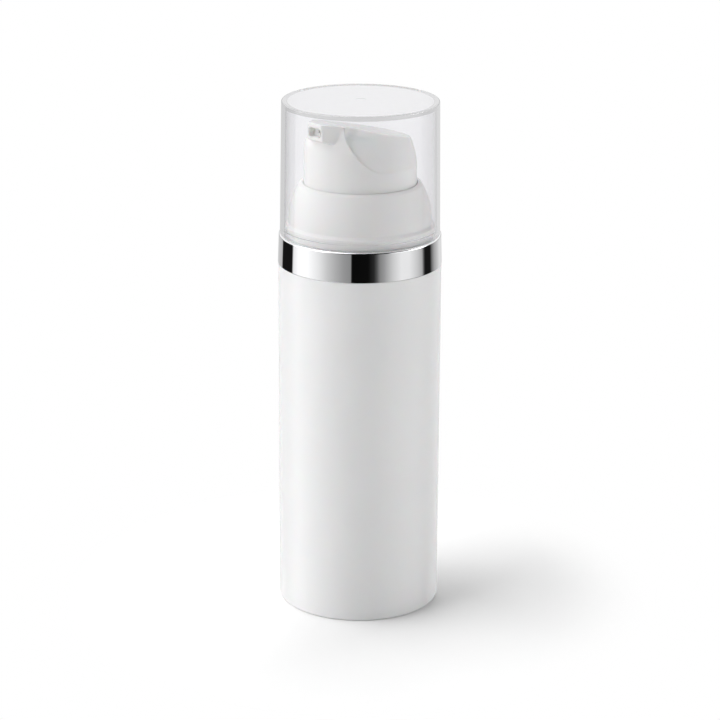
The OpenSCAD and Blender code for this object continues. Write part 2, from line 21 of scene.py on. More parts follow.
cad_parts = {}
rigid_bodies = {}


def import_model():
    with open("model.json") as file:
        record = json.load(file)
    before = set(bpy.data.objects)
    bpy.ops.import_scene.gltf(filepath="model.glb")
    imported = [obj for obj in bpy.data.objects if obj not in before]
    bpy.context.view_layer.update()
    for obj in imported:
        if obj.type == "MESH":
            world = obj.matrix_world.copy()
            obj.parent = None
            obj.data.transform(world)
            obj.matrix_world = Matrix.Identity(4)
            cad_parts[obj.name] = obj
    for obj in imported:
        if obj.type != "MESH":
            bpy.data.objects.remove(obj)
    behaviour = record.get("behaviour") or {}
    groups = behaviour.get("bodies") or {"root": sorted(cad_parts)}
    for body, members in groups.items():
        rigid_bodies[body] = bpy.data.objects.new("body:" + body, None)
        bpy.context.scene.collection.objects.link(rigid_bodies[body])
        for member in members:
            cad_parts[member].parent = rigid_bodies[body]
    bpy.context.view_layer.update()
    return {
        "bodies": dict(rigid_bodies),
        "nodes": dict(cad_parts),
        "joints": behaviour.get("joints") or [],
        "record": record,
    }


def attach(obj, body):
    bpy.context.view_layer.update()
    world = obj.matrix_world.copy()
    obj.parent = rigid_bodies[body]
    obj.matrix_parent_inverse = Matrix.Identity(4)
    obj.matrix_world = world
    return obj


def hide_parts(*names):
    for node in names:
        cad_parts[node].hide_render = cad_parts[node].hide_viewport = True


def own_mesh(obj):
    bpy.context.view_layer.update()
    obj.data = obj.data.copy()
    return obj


LOG = logging.getLogger("bottle")
MM = 0.001
TINY = 1e-12
HALVINGS = 36
# A corner whose half angle in degrees is larger stays as it is, and a rounding takes at most this
# share of a side
FLAT_HALF_ANGLE = 89
SIDE_SHARE = 0.49
# Noise values between which a cloud goes from one colour to the other
CLOUD = (0.3, 0.7)
WHITE = (1, 1, 1, 1)
Array = np.ndarray
Colour = tuple[float, float, float]


class Body(str, Enum):
    """CAD bodies that the pieces ride on."""

    BOTTLE = "bottle"
    CAP = "cap"
    HEAD = "head"


class Slot(str, Enum):
    """Material slots of the record."""

    CLEAR = "clear_plastic"
    HEAD = "white_head"
    BODY = "white_body"
    RING = "metallised"
    NATURAL = "natural_plastic"
    SEAL = "seal"
    STEEL = "steel"


# ---------------------------------------------------------------- surfaces


def strip_quads(index: Array) -> Array:
    """Quads between neighbouring rows of a grid of vertex numbers that closes round its columns.

    Args:
        index: Vertex numbers, one row for each ring.

    Returns:
        Quads as an array of shape (rings - 1, columns, 4).
    """
    ahead = np.roll(index, -1, axis=1)
    return np.stack([index[:-1], ahead[:-1], ahead[1:], index[1:]], axis=2)


def fan(ring: Array, tip: int) -> Array:
    """Triangles that close a ring of vertex numbers with one more vertex."""
    return np.column_stack([ring, np.roll(ring, -1), np.full(len(ring), tip)])


@dataclass(frozen=True)
class Surface:
    """A mesh in millimetres, with one normal for each vertex."""

    verts: Array
    quads: Array
    tris: Array
    normals: Array

    @staticmethod
    def shaded(verts: Array, quads: Array, tris: Array) -> "Surface":
        """Makes a surface whose vertex normals are its faces' normals, weighted by their area.

        A face's normal is the cross product of two of its edges or of its diagonals.

        Args:
            verts: Vertex positions, one row each.
            quads: Vertex numbers of the quads.
            tris: Vertex numbers of the triangles.

        Returns:
            The surface.
        """
        q, t = verts[quads], verts[tris]
        quad_cross = np.cross(q[:, 2] - q[:, 0], q[:, 3] - q[:, 1])
        tri_cross = np.cross(t[:, 1] - t[:, 0], t[:, 2] - t[:, 0])
        total = np.zeros_like(verts)
        np.add.at(total, quads.ravel(), np.repeat(quad_cross, 4, axis=0))
        np.add.at(total, tris.ravel(), np.repeat(tri_cross, 3, axis=0))
        length = np.linalg.norm(total, axis=1, keepdims=True)
        return Surface(verts, quads, tris, total / np.maximum(length, TINY))


def arc(radii: tuple, centre_z: float, start: float, end: float, steps: int) -> Array:
    """Section rows on an ellipse about the axis: r = a cos(t), z = centre + b sin(t), unrounded.

    Args:
        radii: The ellipse's half-axes (a, b), outwards and upwards.
        centre_z: Height of its centre.
        start: First angle t.
        end: Last angle.
        steps: Number of steps.

    Returns:
        Rows of (radius, height, rounding).
    """
    angle = np.radians(np.linspace(start, end, steps + 1))
    return np.column_stack([radii[0] * np.cos(angle), centre_z + radii[1] * np.sin(angle), 0 * angle])


def rounded(rows: Array, closed: bool, steps: int = 7) -> Array:
    """Half-section whose corners are rounded.

    A corner becomes an arc that touches both its sides: the arc's centre lies on the bisector, at
    radius / sin(half angle) from the corner. The radius shrinks where a side is too short.

    Args:
        rows: Corners as (radius, height, rounding), walked with the solid on the left.
        closed: True for a ring section, False for one that starts and ends on the axis.
        steps: Number of steps in each rounding.

    Returns:
        Points of the section as (radius, height).
    """
    corner, want = rows[:, :2], rows[:, 2]
    before, after = np.roll(corner, 1, axis=0) - corner, np.roll(corner, -1, axis=0) - corner
    before_l, after_l = np.linalg.norm(before, axis=1), np.linalg.norm(after, axis=1)
    before, after = before / before_l[:, None], after / after_l[:, None]
    half = np.arccos(np.clip((before * after).sum(axis=1), -1, 1)) / 2
    sharp = (want <= 0) | (half > math.radians(FLAT_HALF_ANGLE))
    if not closed:
        sharp[[0, -1]] = True
    half = np.where(sharp, 1.0, half)
    radius = np.minimum(want, SIDE_SHARE * np.minimum(before_l, after_l) * np.tan(half))[:, None]
    bisector = before + after
    bisector /= np.maximum(np.linalg.norm(bisector, axis=1, keepdims=True), TINY)
    centre = corner + bisector * radius / np.sin(half)[:, None]
    reach = radius / np.tan(half)[:, None]
    first, last = corner + before * reach - centre, corner + after * reach - centre
    start = np.arctan2(first[:, 1], first[:, 0])
    sweep = np.mod(np.arctan2(last[:, 1], last[:, 0]) - start + np.pi, 2 * np.pi) - np.pi
    angle = start[:, None] + sweep[:, None] * np.linspace(0, 1, steps + 1)
    points = centre[:, None, :] + radius[:, :, None] * np.stack([np.cos(angle), np.sin(angle)], axis=2)
    points[sharp] = corner[sharp][:, None, :]
    keep = np.ones(points.shape[:2], bool)
    keep[sharp, 1:] = False
    return points[keep]


def revolve(section: Array, closed: bool, columns: int = 256) -> Surface:
    """Turns a half-section about the axis: (r, z) becomes (r cos(a), r sin(a), z).

    Args:
        section: Points as (radius, height). An open section starts and ends on the axis.
        closed: Whether the last point joins the first.
        columns: Number of steps round the axis.

    Returns:
        The surface, with one vertex at each pole.
    """
    angle = np.linspace(0, 2 * np.pi, columns, endpoint=False)
    rings = section if closed else section[1:-1]
    r, z = rings[:, :1], rings[:, 1:]
    grid = np.stack([r * np.cos(angle), r * np.sin(angle), z + 0 * angle], axis=2)
    index = np.arange(grid[..., 0].size).reshape(grid.shape[:2])
    verts, tris = grid.reshape(-1, 3), np.zeros((0, 3), int)
    if closed:
        quads = strip_quads(np.vstack([index, index[:1]]))
    else:
        quads, count = strip_quads(index), len(verts)
        verts = np.vstack([verts, [0, 0, section[0, 1]], [0, 0, section[-1, 1]]])
        tris = np.vstack([fan(index[0][::-1], count), fan(index[-1], count + 1)])
    return Surface.shaded(verts, quads.reshape(-1, 4), tris)


# ---------------------------------------------------------------- shader maths and finishes


Value = Union["Sock", float]


class Sock:
    """A node's output, with arithmetic that adds Math nodes to its tree."""

    def __init__(self, net: "Net", socket: bpy.types.NodeSocket) -> None:
        """Wraps an output."""
        self.net = net
        self.socket = socket

    def math(self, operation: str, *values: Value) -> "Sock":
        """Adds a Math node that takes this output and then other values."""
        return self.net.math(operation, self, *values)

    def __add__(self, other: Value) -> "Sock":
        """This plus a value."""
        return self.math("ADD", other)

    __radd__ = __add__

    def __sub__(self, other: Value) -> "Sock":
        """This less a value."""
        return self.math("SUBTRACT", other)

    def __rsub__(self, other: float) -> "Sock":
        """A number less this."""
        return self.net.math("SUBTRACT", other, self)

    def __mul__(self, other: Value) -> "Sock":
        """This times a value."""
        return self.math("MULTIPLY", other)

    __rmul__ = __mul__

    def __truediv__(self, other: Value) -> "Sock":
        """This over a value."""
        return self.math("DIVIDE", other)

    def __gt__(self, other: Value) -> "Sock":
        """1 where this is greater, else 0."""
        return self.math("GREATER_THAN", other)

    def __lt__(self, other: Value) -> "Sock":
        """1 where this is less, else 0."""
        return self.math("LESS_THAN", other)

    def __abs__(self) -> "Sock":
        """This without its sign."""
        return self.math("ABSOLUTE")

    def smooth(self, low: float, high: float) -> "Sock":
        """Goes from 0 at low to 1 at high with soft ends."""
        sockets = {"Value": self, "From Min": low, "From Max": high}
        return self.net.add("ShaderNodeMapRange", {"interpolation_type": "SMOOTHSTEP"}, sockets, "Result")


class Net:
    """A node tree and the ways to add to it."""

    def __init__(self, tree: bpy.types.NodeTree) -> None:
        """Wraps a tree."""
        self.tree = tree

    def node(self, kind: str, settings: Optional[dict] = None, sockets: Optional[dict] = None) -> bpy.types.Node:
        """Adds a node.

        Args:
            kind: The node's type.
            settings: Properties, set first. A colour ramp's stops are (position, brightness) pairs
                under the key "stops".
            sockets: Numbers, colours or links for its inputs, by name or number.

        Returns:
            The node.
        """
        node = self.tree.nodes.new(kind)
        for key, value in (settings or {}).items():
            if key != "stops":
                setattr(node, key, value)
                continue
            stops = node.color_ramp.elements
            stops.remove(stops[-1])
            stops[0].position = value[0][0]
            for number, (position, bright) in enumerate(value):
                stop = stops[0] if number == 0 else stops.new(position)
                stop.color = (bright, bright, bright, 1)
        for key, value in (sockets or {}).items():
            if isinstance(value, Sock):
                self.tree.links.new(value.socket, node.inputs[key])
            else:
                node.inputs[key].default_value = value
        return node

    def add(self, kind: str, settings: Optional[dict] = None, sockets: Optional[dict] = None,
            out: Union[int, str] = 0) -> Sock:
        """Adds a node and gives one of its outputs.

        Args:
            kind: The node's type.
            settings: Properties, set first.
            sockets: Values or links of its inputs.
            out: The output's name or number.

        Returns:
            The output.
        """
        return Sock(self, self.node(kind, settings, sockets).outputs[out])

    def math(self, operation: str, *values: Value) -> Sock:
        """Adds a Math node."""
        return self.add("ShaderNodeMath", {"operation": operation}, dict(enumerate(values)))

    def noise(self, scale: float, detail: float = 2.0, stretch: Colour = (1.0, 1.0, 1.0)) -> Sock:
        """Adds noise in object coordinates.

        Args:
            scale: Waves for each metre.
            detail: Octaves.
            stretch: Factors on x, y and z.

        Returns:
            The noise's value, about 0.5.
        """
        place = self.add("ShaderNodeTexCoord", out="Object")
        place = self.add("ShaderNodeVectorMath", {"operation": "MULTIPLY"}, {0: place, 1: stretch})
        return self.add("ShaderNodeTexNoise", None, {"Vector": place, "Scale": scale, "Detail": detail}, "Fac")

    def blend(self, share: Sock, first: Colour, second: Colour) -> Sock:
        """Mixes two colours by a share that runs from 0 to 1."""
        return self.add("ShaderNodeMix", {"data_type": "RGBA"}, {0: share, 6: (*first, 1), 7: (*second, 1)}, 2)

    def mix(self, share: Sock, first: Sock, second: Sock) -> Sock:
        """Mixes two shaders."""
        return self.add("ShaderNodeMixShader", None, {0: share, 1: first, 2: second})

    def outputs(self, kind: str, *names: str) -> list[Sock]:
        """Adds a node and gives several of its outputs."""
        node = self.node(kind)
        return [Sock(self, node.outputs[name]) for name in names]


class Coat(Net):
    """A new material with one Principled shader."""

    def __init__(self, name: str, constants: dict) -> None:
        """Makes the material.

        Args:
            name: The material's name.
            constants: Values that are the same all over, by the shader's input names.
        """
        self.material = bpy.data.materials.new(name)
        self.material.use_nodes = True
        super().__init__(self.material.node_tree)
        self.shader = self.tree.nodes["Principled BSDF"]
        for key, value in constants.items():
            self.shader.inputs[key].default_value = value

    def vary(self, name: str, value: Sock) -> None:
        """Feeds one of the shader's inputs."""
        self.tree.links.new(value.socket, self.shader.inputs[name])

    def bump(self, height: Sock, depth: float) -> None:
        """Bends the normals by a height pattern of a depth in metres."""
        self.vary("Normal", self.add("ShaderNodeBump", None, {"Height": height, "Strength": 1.0, "Distance": depth}))


@dataclass(frozen=True)
class MouldedPlastic:
    """Opaque moulded plastic: faint clouding, uneven gloss, and the slight waviness of its skin."""

    name: str
    light: Colour
    dark: Colour
    roughness: float
    unevenness: float
    wave_depth: float
    waves: float = 260.0
    grain: float = 2600.0
    spot_share: float = 0.7
    spot_height: float = 0.03
    glow: float = 0.1
    glow_mm: float = 1.0
    ior: float = 1.49

    def material(self) -> bpy.types.Material:
        """Makes the material.

        Returns:
            The material.
        """
        coat = Coat(self.name, {
            "IOR": self.ior, "Subsurface Weight": self.glow, "Subsurface Scale": self.glow_mm * MM,
        })
        cloud, spots = coat.noise(self.waves / 3, 3.0), coat.noise(self.grain, 3.0)
        coat.vary("Base Color", coat.blend(cloud.smooth(*CLOUD), self.light, self.dark))
        coat.vary("Roughness", self.roughness + self.unevenness * (cloud - 0.5 + (spots - 0.5) * self.spot_share))
        coat.bump(coat.noise(self.waves, 1.0) + spots * self.spot_height, self.wave_depth)
        return coat.material


@dataclass(frozen=True)
class PolishedMetal:
    """Bright metal, drawn or metallised: fine lines along the work and a little haze."""

    name: str
    light: Colour
    dark: Colour
    roughness: float
    haze: float
    line_depth: float
    lines: float = 900.0
    line_share: float = 0.4
    along: Colour = (0.05, 0.05, 1.0)

    def material(self) -> bpy.types.Material:
        """Makes the material.

        Returns:
            The material.
        """
        coat = Coat(self.name, {"Metallic": 1.0})
        line, cloud = coat.noise(self.lines, 2.0, self.along), coat.noise(self.lines / 8, 3.0)
        coat.vary("Base Color", coat.blend(cloud.smooth(*CLOUD), self.light, self.dark))
        coat.vary("Roughness", self.roughness + self.haze * (cloud * (1 - self.line_share) + line * self.line_share))
        coat.bump(line, self.line_depth)
        return coat.material


@dataclass(frozen=True)
class ClearStyrene:
    """Clear polished styrene: light passes straight through its thin wall, and its skin has faint flow lines."""

    name: str = "clear_styrene"
    tint: Colour = (0.957, 0.955, 0.969)
    one_surface: Colour = (0.97, 0.97, 0.975)
    ior: float = 1.5
    haze: float = 0.012
    flow_waves: float = 140.0
    flow_stretch: Colour = (1.0, 1.0, 0.15)
    flow_ends: tuple = (0.35, 0.8)
    flow_depth: float = 2e-7

    def material(self) -> bpy.types.Material:
        """Makes the material.

        Returns:
            The material.
        """
        coat = Coat(self.name, {"Base Color": (*self.tint, 1), "IOR": self.ior, "Transmission Weight": 1.0})
        flow = coat.noise(self.flow_waves, 2.0, self.flow_stretch)
        coat.vary("Roughness", flow.smooth(*self.flow_ends) * self.haze)
        coat.bump(flow, self.flow_depth)
        straight = coat.add("ShaderNodeBsdfTransparent", None, {"Color": (*self.one_surface, 1)})
        last = Sock(coat, coat.shader.outputs[0])
        for ray in coat.outputs("ShaderNodeLightPath", "Is Reflection Ray", "Is Diffuse Ray", "Is Shadow Ray"):
            last = coat.mix(ray, last, straight)
        coat.tree.links.new(last.socket, coat.tree.nodes["Material Output"].inputs["Surface"])
        return coat.material


FINISHES = {
    Slot.CLEAR: ClearStyrene(),
    Slot.HEAD: MouldedPlastic("satin_white", (0.93, 0.925, 0.903), (0.915, 0.911, 0.89), 0.2, 0.12, 2.5e-6,
                              glow=0.12, ior=1.6),
    Slot.BODY: MouldedPlastic("gloss_white", (0.875, 0.875, 0.877), (0.862, 0.863, 0.867), 0.215, 0.1, 2e-6,
                              glow=0.08),
    Slot.NATURAL: MouldedPlastic("natural_polypropylene", (0.81, 0.82, 0.81), (0.75, 0.765, 0.76), 0.42, 0.25,
                                 6e-6, glow=0.25, glow_mm=2.0),
    Slot.SEAL: MouldedPlastic("dark_seal", (0.085, 0.085, 0.09), (0.05, 0.05, 0.056), 0.62, 0.25, 1.5e-5,
                              waves=900.0, grain=5000.0, glow=0.0, ior=1.52),
    Slot.RING: PolishedMetal("metallised_bright", (0.905, 0.907, 0.915), (0.885, 0.888, 0.9), 0.01, 0.022, 1.2e-7),
    Slot.STEEL: PolishedMetal("drawn_steel", (0.64, 0.65, 0.67), (0.55, 0.56, 0.58), 0.14, 0.16, 1e-6,
                              lines=2500.0, along=(1.0, 1.0, 0.3)),
}


# ---------------------------------------------------------------- workshop


@dataclass(frozen=True)
class Piece:
    """What a fine piece is called, what it rides on, and the CAD node that it stands for."""

    name: str
    node: str
    body: Body
    slot: Slot


class Workshop:
    """Turns surfaces into pieces of the scene and gives them their finishes."""

    def __init__(self, frame: dict) -> None:
        """Takes the loaded frame and makes the materials."""
        self.nodes = frame["nodes"]
        self.materials = {slot: finish.material() for slot, finish in FINISHES.items()}

    def make(self, piece: Piece, surface: Surface) -> bpy.types.Object:
        """Creates a piece and ties it to its CAD body.

        Args:
            piece: What the piece is.
            surface: Its shape.

        Returns:
            The new object.
        """
        mesh = bpy.data.meshes.new(piece.name)
        mesh.from_pydata((surface.verts * MM).tolist(), [], surface.quads.tolist() + surface.tris.tolist())
        mesh.validate()
        mesh.polygons.foreach_set("use_smooth", np.ones(len(mesh.polygons), bool))
        mesh.normals_split_custom_set_from_vertices(surface.normals.tolist())
        mesh.materials.append(self.materials[piece.slot])
        mesh.update()
        made = bpy.data.objects.new(piece.name, mesh)
        bpy.context.scene.collection.objects.link(made)
        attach(made, piece.body.value)
        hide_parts(piece.node)
        LOG.info("%s: %d faces on %s", piece.name, len(mesh.polygons), piece.body.value)
        return made

    def dress(self, node: str, slot: Slot) -> None:
        """Gives a CAD node that stays visible its finish.

        Args:
            node: The node's name.
            slot: The material slot it takes its finish from.
        """
        kept = self.nodes[node]
        kept.data.materials.clear()
        kept.data.materials.append(self.materials[slot])
        LOG.info("%s: CAD node in %s", node, slot.value)


# ---------------------------------------------------------------- overcap


@dataclass(frozen=True)
class Overcap:
    """Clear pull-off cap: drafted wall, flat top, and a low ridge inside its foot."""

    foot_z: float = 85.03
    top_z: float = 114.6
    ceiling_z: float = 113.5
    foot_r: float = 17.6
    top_r: float = 17.2
    bore_foot_r: float = 16.56
    bore_top_r: float = 16.15
    edge: float = 0.42
    ceiling_edge: float = 0.3
    ridge_z: float = 86.2
    ridge_in: float = 0.1
    ridge_half: float = 0.35
    ridge_crest: float = 0.15
    gate_r: float = 1.2
    gate_depth: float = 0.02
    gate_slope: float = 0.12
    # How far the flat faces' last ring lies in from their edge, so that they stay flat up to it
    ceiling_border: float = 1.5
    top_border: float = 2.7
    gate_border: float = 0.3
    columns: int = 320

    def section(self) -> Array:
        """Half-section from the ceiling's centre, down the bore, round the foot and up to the top's centre.

        Returns:
            Points as (radius, height).
        """
        bore = np.interp([self.ridge_z + self.ridge_half, self.ridge_z - self.ridge_half],
                         [self.foot_z, self.ceiling_z], [self.bore_foot_r, self.bore_top_r])
        dip = self.top_z - self.gate_depth
        return rounded(np.array([
            (0, self.ceiling_z, 0),
            (self.bore_top_r - self.ceiling_border, self.ceiling_z, 0),
            (self.bore_top_r, self.ceiling_z, self.ceiling_edge),
            (bore[0], self.ridge_z + self.ridge_half, 0.2),
            (bore[0] - self.ridge_in, self.ridge_z + self.ridge_crest, 0.1),
            (bore[1] - self.ridge_in, self.ridge_z - self.ridge_crest, 0.1),
            (bore[1], self.ridge_z - self.ridge_half, 0.2),
            (self.bore_foot_r, self.foot_z, 0.12),
            (self.foot_r, self.foot_z, 0.16),
            (self.top_r, self.top_z, self.edge),
            (self.top_r - self.top_border, self.top_z, 0),
            (self.gate_r + self.gate_border, self.top_z, 0),
            (self.gate_r, self.top_z, 0.1),
            (self.gate_r - self.gate_slope, dip, 0.1),
            (0, dip, 0),
        ]), False)

    def build(self, shop: Workshop) -> None:
        """Makes the cap."""
        piece = Piece("overcap_clear", "overcap", Body.CAP, Slot.CLEAR)
        shop.make(piece, revolve(self.section(), False, self.columns))


# ---------------------------------------------------------------- press head


def rounded_meet(a: Array, b: Array, radius: float) -> Array:
    """Distance field of the overlap of two solids, with the edge between them rounded."""
    u, v = np.maximum(a + radius, 0), np.maximum(b + radius, 0)
    return np.minimum(np.maximum(a, b), -radius) + np.hypot(u, v)


def rounded_join(a: Array, b: Array, radius: float) -> Array:
    """Distance field of two solids together, with the corner between them filled."""
    return -rounded_meet(-a, -b, radius)


def rounded_rectangle(across: Array, up: Array, half: Array, corner: float) -> Array:
    """Distance field of a rectangle with round corners.

    Args:
        across: Distances from its middle.
        up: Heights from its middle.
        half: Half its width and half its height.
        corner: The corners' radius.

    Returns:
        The field.
    """
    past = np.abs(np.column_stack([across, up])) - half + corner
    return np.hypot(*np.maximum(past, 0).T) + np.minimum(past.max(axis=1), 0) - corner


def first_exit(solid: Callable, start: Array, way: Array, reach: float) -> Array:
    """Points where rays from inside a solid leave it, found by halving.

    Args:
        solid: Function of x, y and z that is negative inside.
        start: Ray starts, one row each.
        way: Unit directions.
        reach: Length within which every ray has left.

    Returns:
        The exit points.
    """
    low, high = np.zeros(len(start)), np.full(len(start), reach)
    for _ in range(HALVINGS):
        mid = (low + high) / 2
        inside = solid(*(start + way * mid[:, None]).T) < 0
        low, high = np.where(inside, mid, low), np.where(inside, high, mid)
    return start + way * ((low + high) / 2)[:, None]


@dataclass(frozen=True)
class HeadShape:
    """The press head's outside as a field over x, y and z: negative inside, about a distance outside.

    It is the full-width block below and in front, the drawn-in core behind it, and the spout,
    all under the hollow of the finger pad and the spout's flat top.
    """

    radius: float = 12.38
    # The lean back of the full width beside the spout
    lean_z: float = 106.7
    lean_step: float = 0.45
    lean_soft: float = 1.3
    lean_slope: float = 0.13
    lean_early: float = 0.7
    # The core behind the scoops, with its block towards the spout
    core_arc: float = 17.0
    core_z: float = 99.5
    core_front_half: float = 5.3
    core_front_y: float = 5.0
    core_front_soft: float = 1.2
    core_overlap: float = 0.02
    # The scoops: floor, arc, and where they end in front
    scoop_z: float = 101.2
    scoop_arc: float = 6.1
    scoop_front: float = 9.4
    # The finger pad's arc and its centre, and the flat top's height
    pad_arc: float = 156.0
    pad_y: float = 37.9
    pad_z: float = 259.8
    flat_z: float = 111.3
    # The spout: its face's distance, half width and foot there, and how the underside and flanks slope
    reach: float = 13.2
    spout_half: float = 2.2
    spout_low: float = 107.6
    under_slope: float = 0.342
    flank: tuple = (0.80, 0.60)
    skirt_z: float = 92.2
    # Roundings: rim, line between pad and flat top, scoops' edge, spout's edges, and its root
    edge: float = 0.4
    ridge: float = 1.2
    crease: float = 0.4
    spout_edge: float = 0.28
    spout_root: float = 0.12
    # A height inside the head everywhere, how far above it every top lies, and the step for slopes
    inside_z: float = 100.0
    climb: float = 15.0
    probe: float = 0.01

    def front_radius(self, z: Array) -> Array:
        """Radius of the full width, which leans back beside the spout.

        The lean is step * (1 + tanh(h / soft)) + slope * ln(1 + e^(h + early)), with h the height
        above its middle.

        Args:
            z: Heights.

        Returns:
            Radii.
        """
        h = z - self.lean_z
        lean = self.lean_step * (1 + np.tanh(h / self.lean_soft))
        return self.radius - lean - self.lean_slope * np.logaddexp(0, h + self.lean_early)

    def block(self, y: Array, z: Array, r: Array) -> Array:
        """Full-width part, less the scoops.

        Seen from the side, a scoop runs level, turns up in an arc, and ends upright.

        Args:
            y: Distances along the spout's direction.
            z: Heights.
            r: Distances from the axis.

        Returns:
            The part's field.
        """
        corner_y, corner_z = self.scoop_arc - self.scoop_front, self.scoop_z + self.scoop_arc
        bend = self.scoop_arc - np.hypot(y - corner_y, z - corner_z)
        front, ledge = y + self.scoop_front, z - self.scoop_z
        low = np.where(y < corner_y, bend, ledge)
        high = np.where(y < corner_y, front, np.minimum(front, ledge))
        return rounded_meet(r - self.front_radius(z), np.where(z < corner_z, low, high), self.crease)

    def core(self, x: Array, y: Array, z: Array, r: Array) -> Array:
        """Part behind the scoops: a turned arc, filled towards the spout by a block with soft corners.

        Args:
            x: Distances across the spout's direction.
            y: Distances along it.
            z: Heights.
            r: Distances from the axis.

        Returns:
            The part's field.
        """
        centre_r = self.radius - self.core_arc
        turned = np.hypot(r - centre_r, np.maximum(z - self.core_z, 0)) - self.core_arc
        middle, half = (self.scoop_front + self.core_front_y) / 2, (self.scoop_front - self.core_front_y) / 2
        front = np.maximum(np.abs(x) - self.core_front_half, np.abs(y + middle) - half - self.core_overlap)
        return np.maximum(rounded_join(turned, front, self.core_front_soft), r - self.front_radius(z))

    def side(self, x: Array, y: Array, z: Array) -> Array:
        """Everything but the top's cut: block, core, and the spout with flared flanks and a sloping underside.

        Args:
            x: Distances across the spout's direction.
            y: Distances along it.
            z: Heights.

        Returns:
            The field.
        """
        r = np.hypot(x, y)
        block, tip = self.block(y, z, r), -self.reach - y
        flank = (np.abs(x) - self.spout_half) * self.flank[0] - (y + self.reach) * self.flank[1]
        under = (self.spout_low - self.under_slope * (y + self.reach) - z) / math.hypot(1, self.under_slope)
        spout = rounded_meet(rounded_meet(tip, flank, self.spout_edge), under, self.spout_edge)
        spout = np.maximum(spout, y + self.scoop_front)
        return np.minimum(np.minimum(block, self.core(x, y, z, r)), rounded_join(spout, block, self.spout_root))

    def top(self, y: Array, z: Array) -> Array:
        """Space under the finger pad's hollow and the spout's flat top."""
        pad = self.pad_arc - np.hypot(y - self.pad_y, z - self.pad_z)
        return rounded_meet(z - self.flat_z, pad, self.ridge)

    def solid(self, x: Array, y: Array, z: Array) -> Array:
        """The whole outside."""
        return rounded_meet(self.side(x, y, z), self.top(y, z), self.edge)

    def top_height(self, y: Array) -> Array:
        """Height of the top, found by halving.

        Args:
            y: Distances along the spout's direction.

        Returns:
            Heights.
        """
        start = np.column_stack([0 * y, y, np.full(len(y), self.inside_z)])
        way = np.tile([0.0, 0.0, 1.0], (len(y), 1))
        return first_exit(lambda _x, along, z: self.top(along, z), start, way, self.climb)[:, 2]

    def normals(self, points: Array) -> Array:
        """Unit gradients of the field, from differences over a small step each way.

        Args:
            points: Places, one row each.

        Returns:
            Unit vectors, one row each.
        """
        shift = self.probe * np.eye(3)
        slopes = [self.solid(*(points + s).T) - self.solid(*(points - s).T) for s in shift]
        gradient = np.stack(slopes, axis=1)
        return gradient / np.maximum(np.linalg.norm(gradient, axis=1, keepdims=True), TINY)


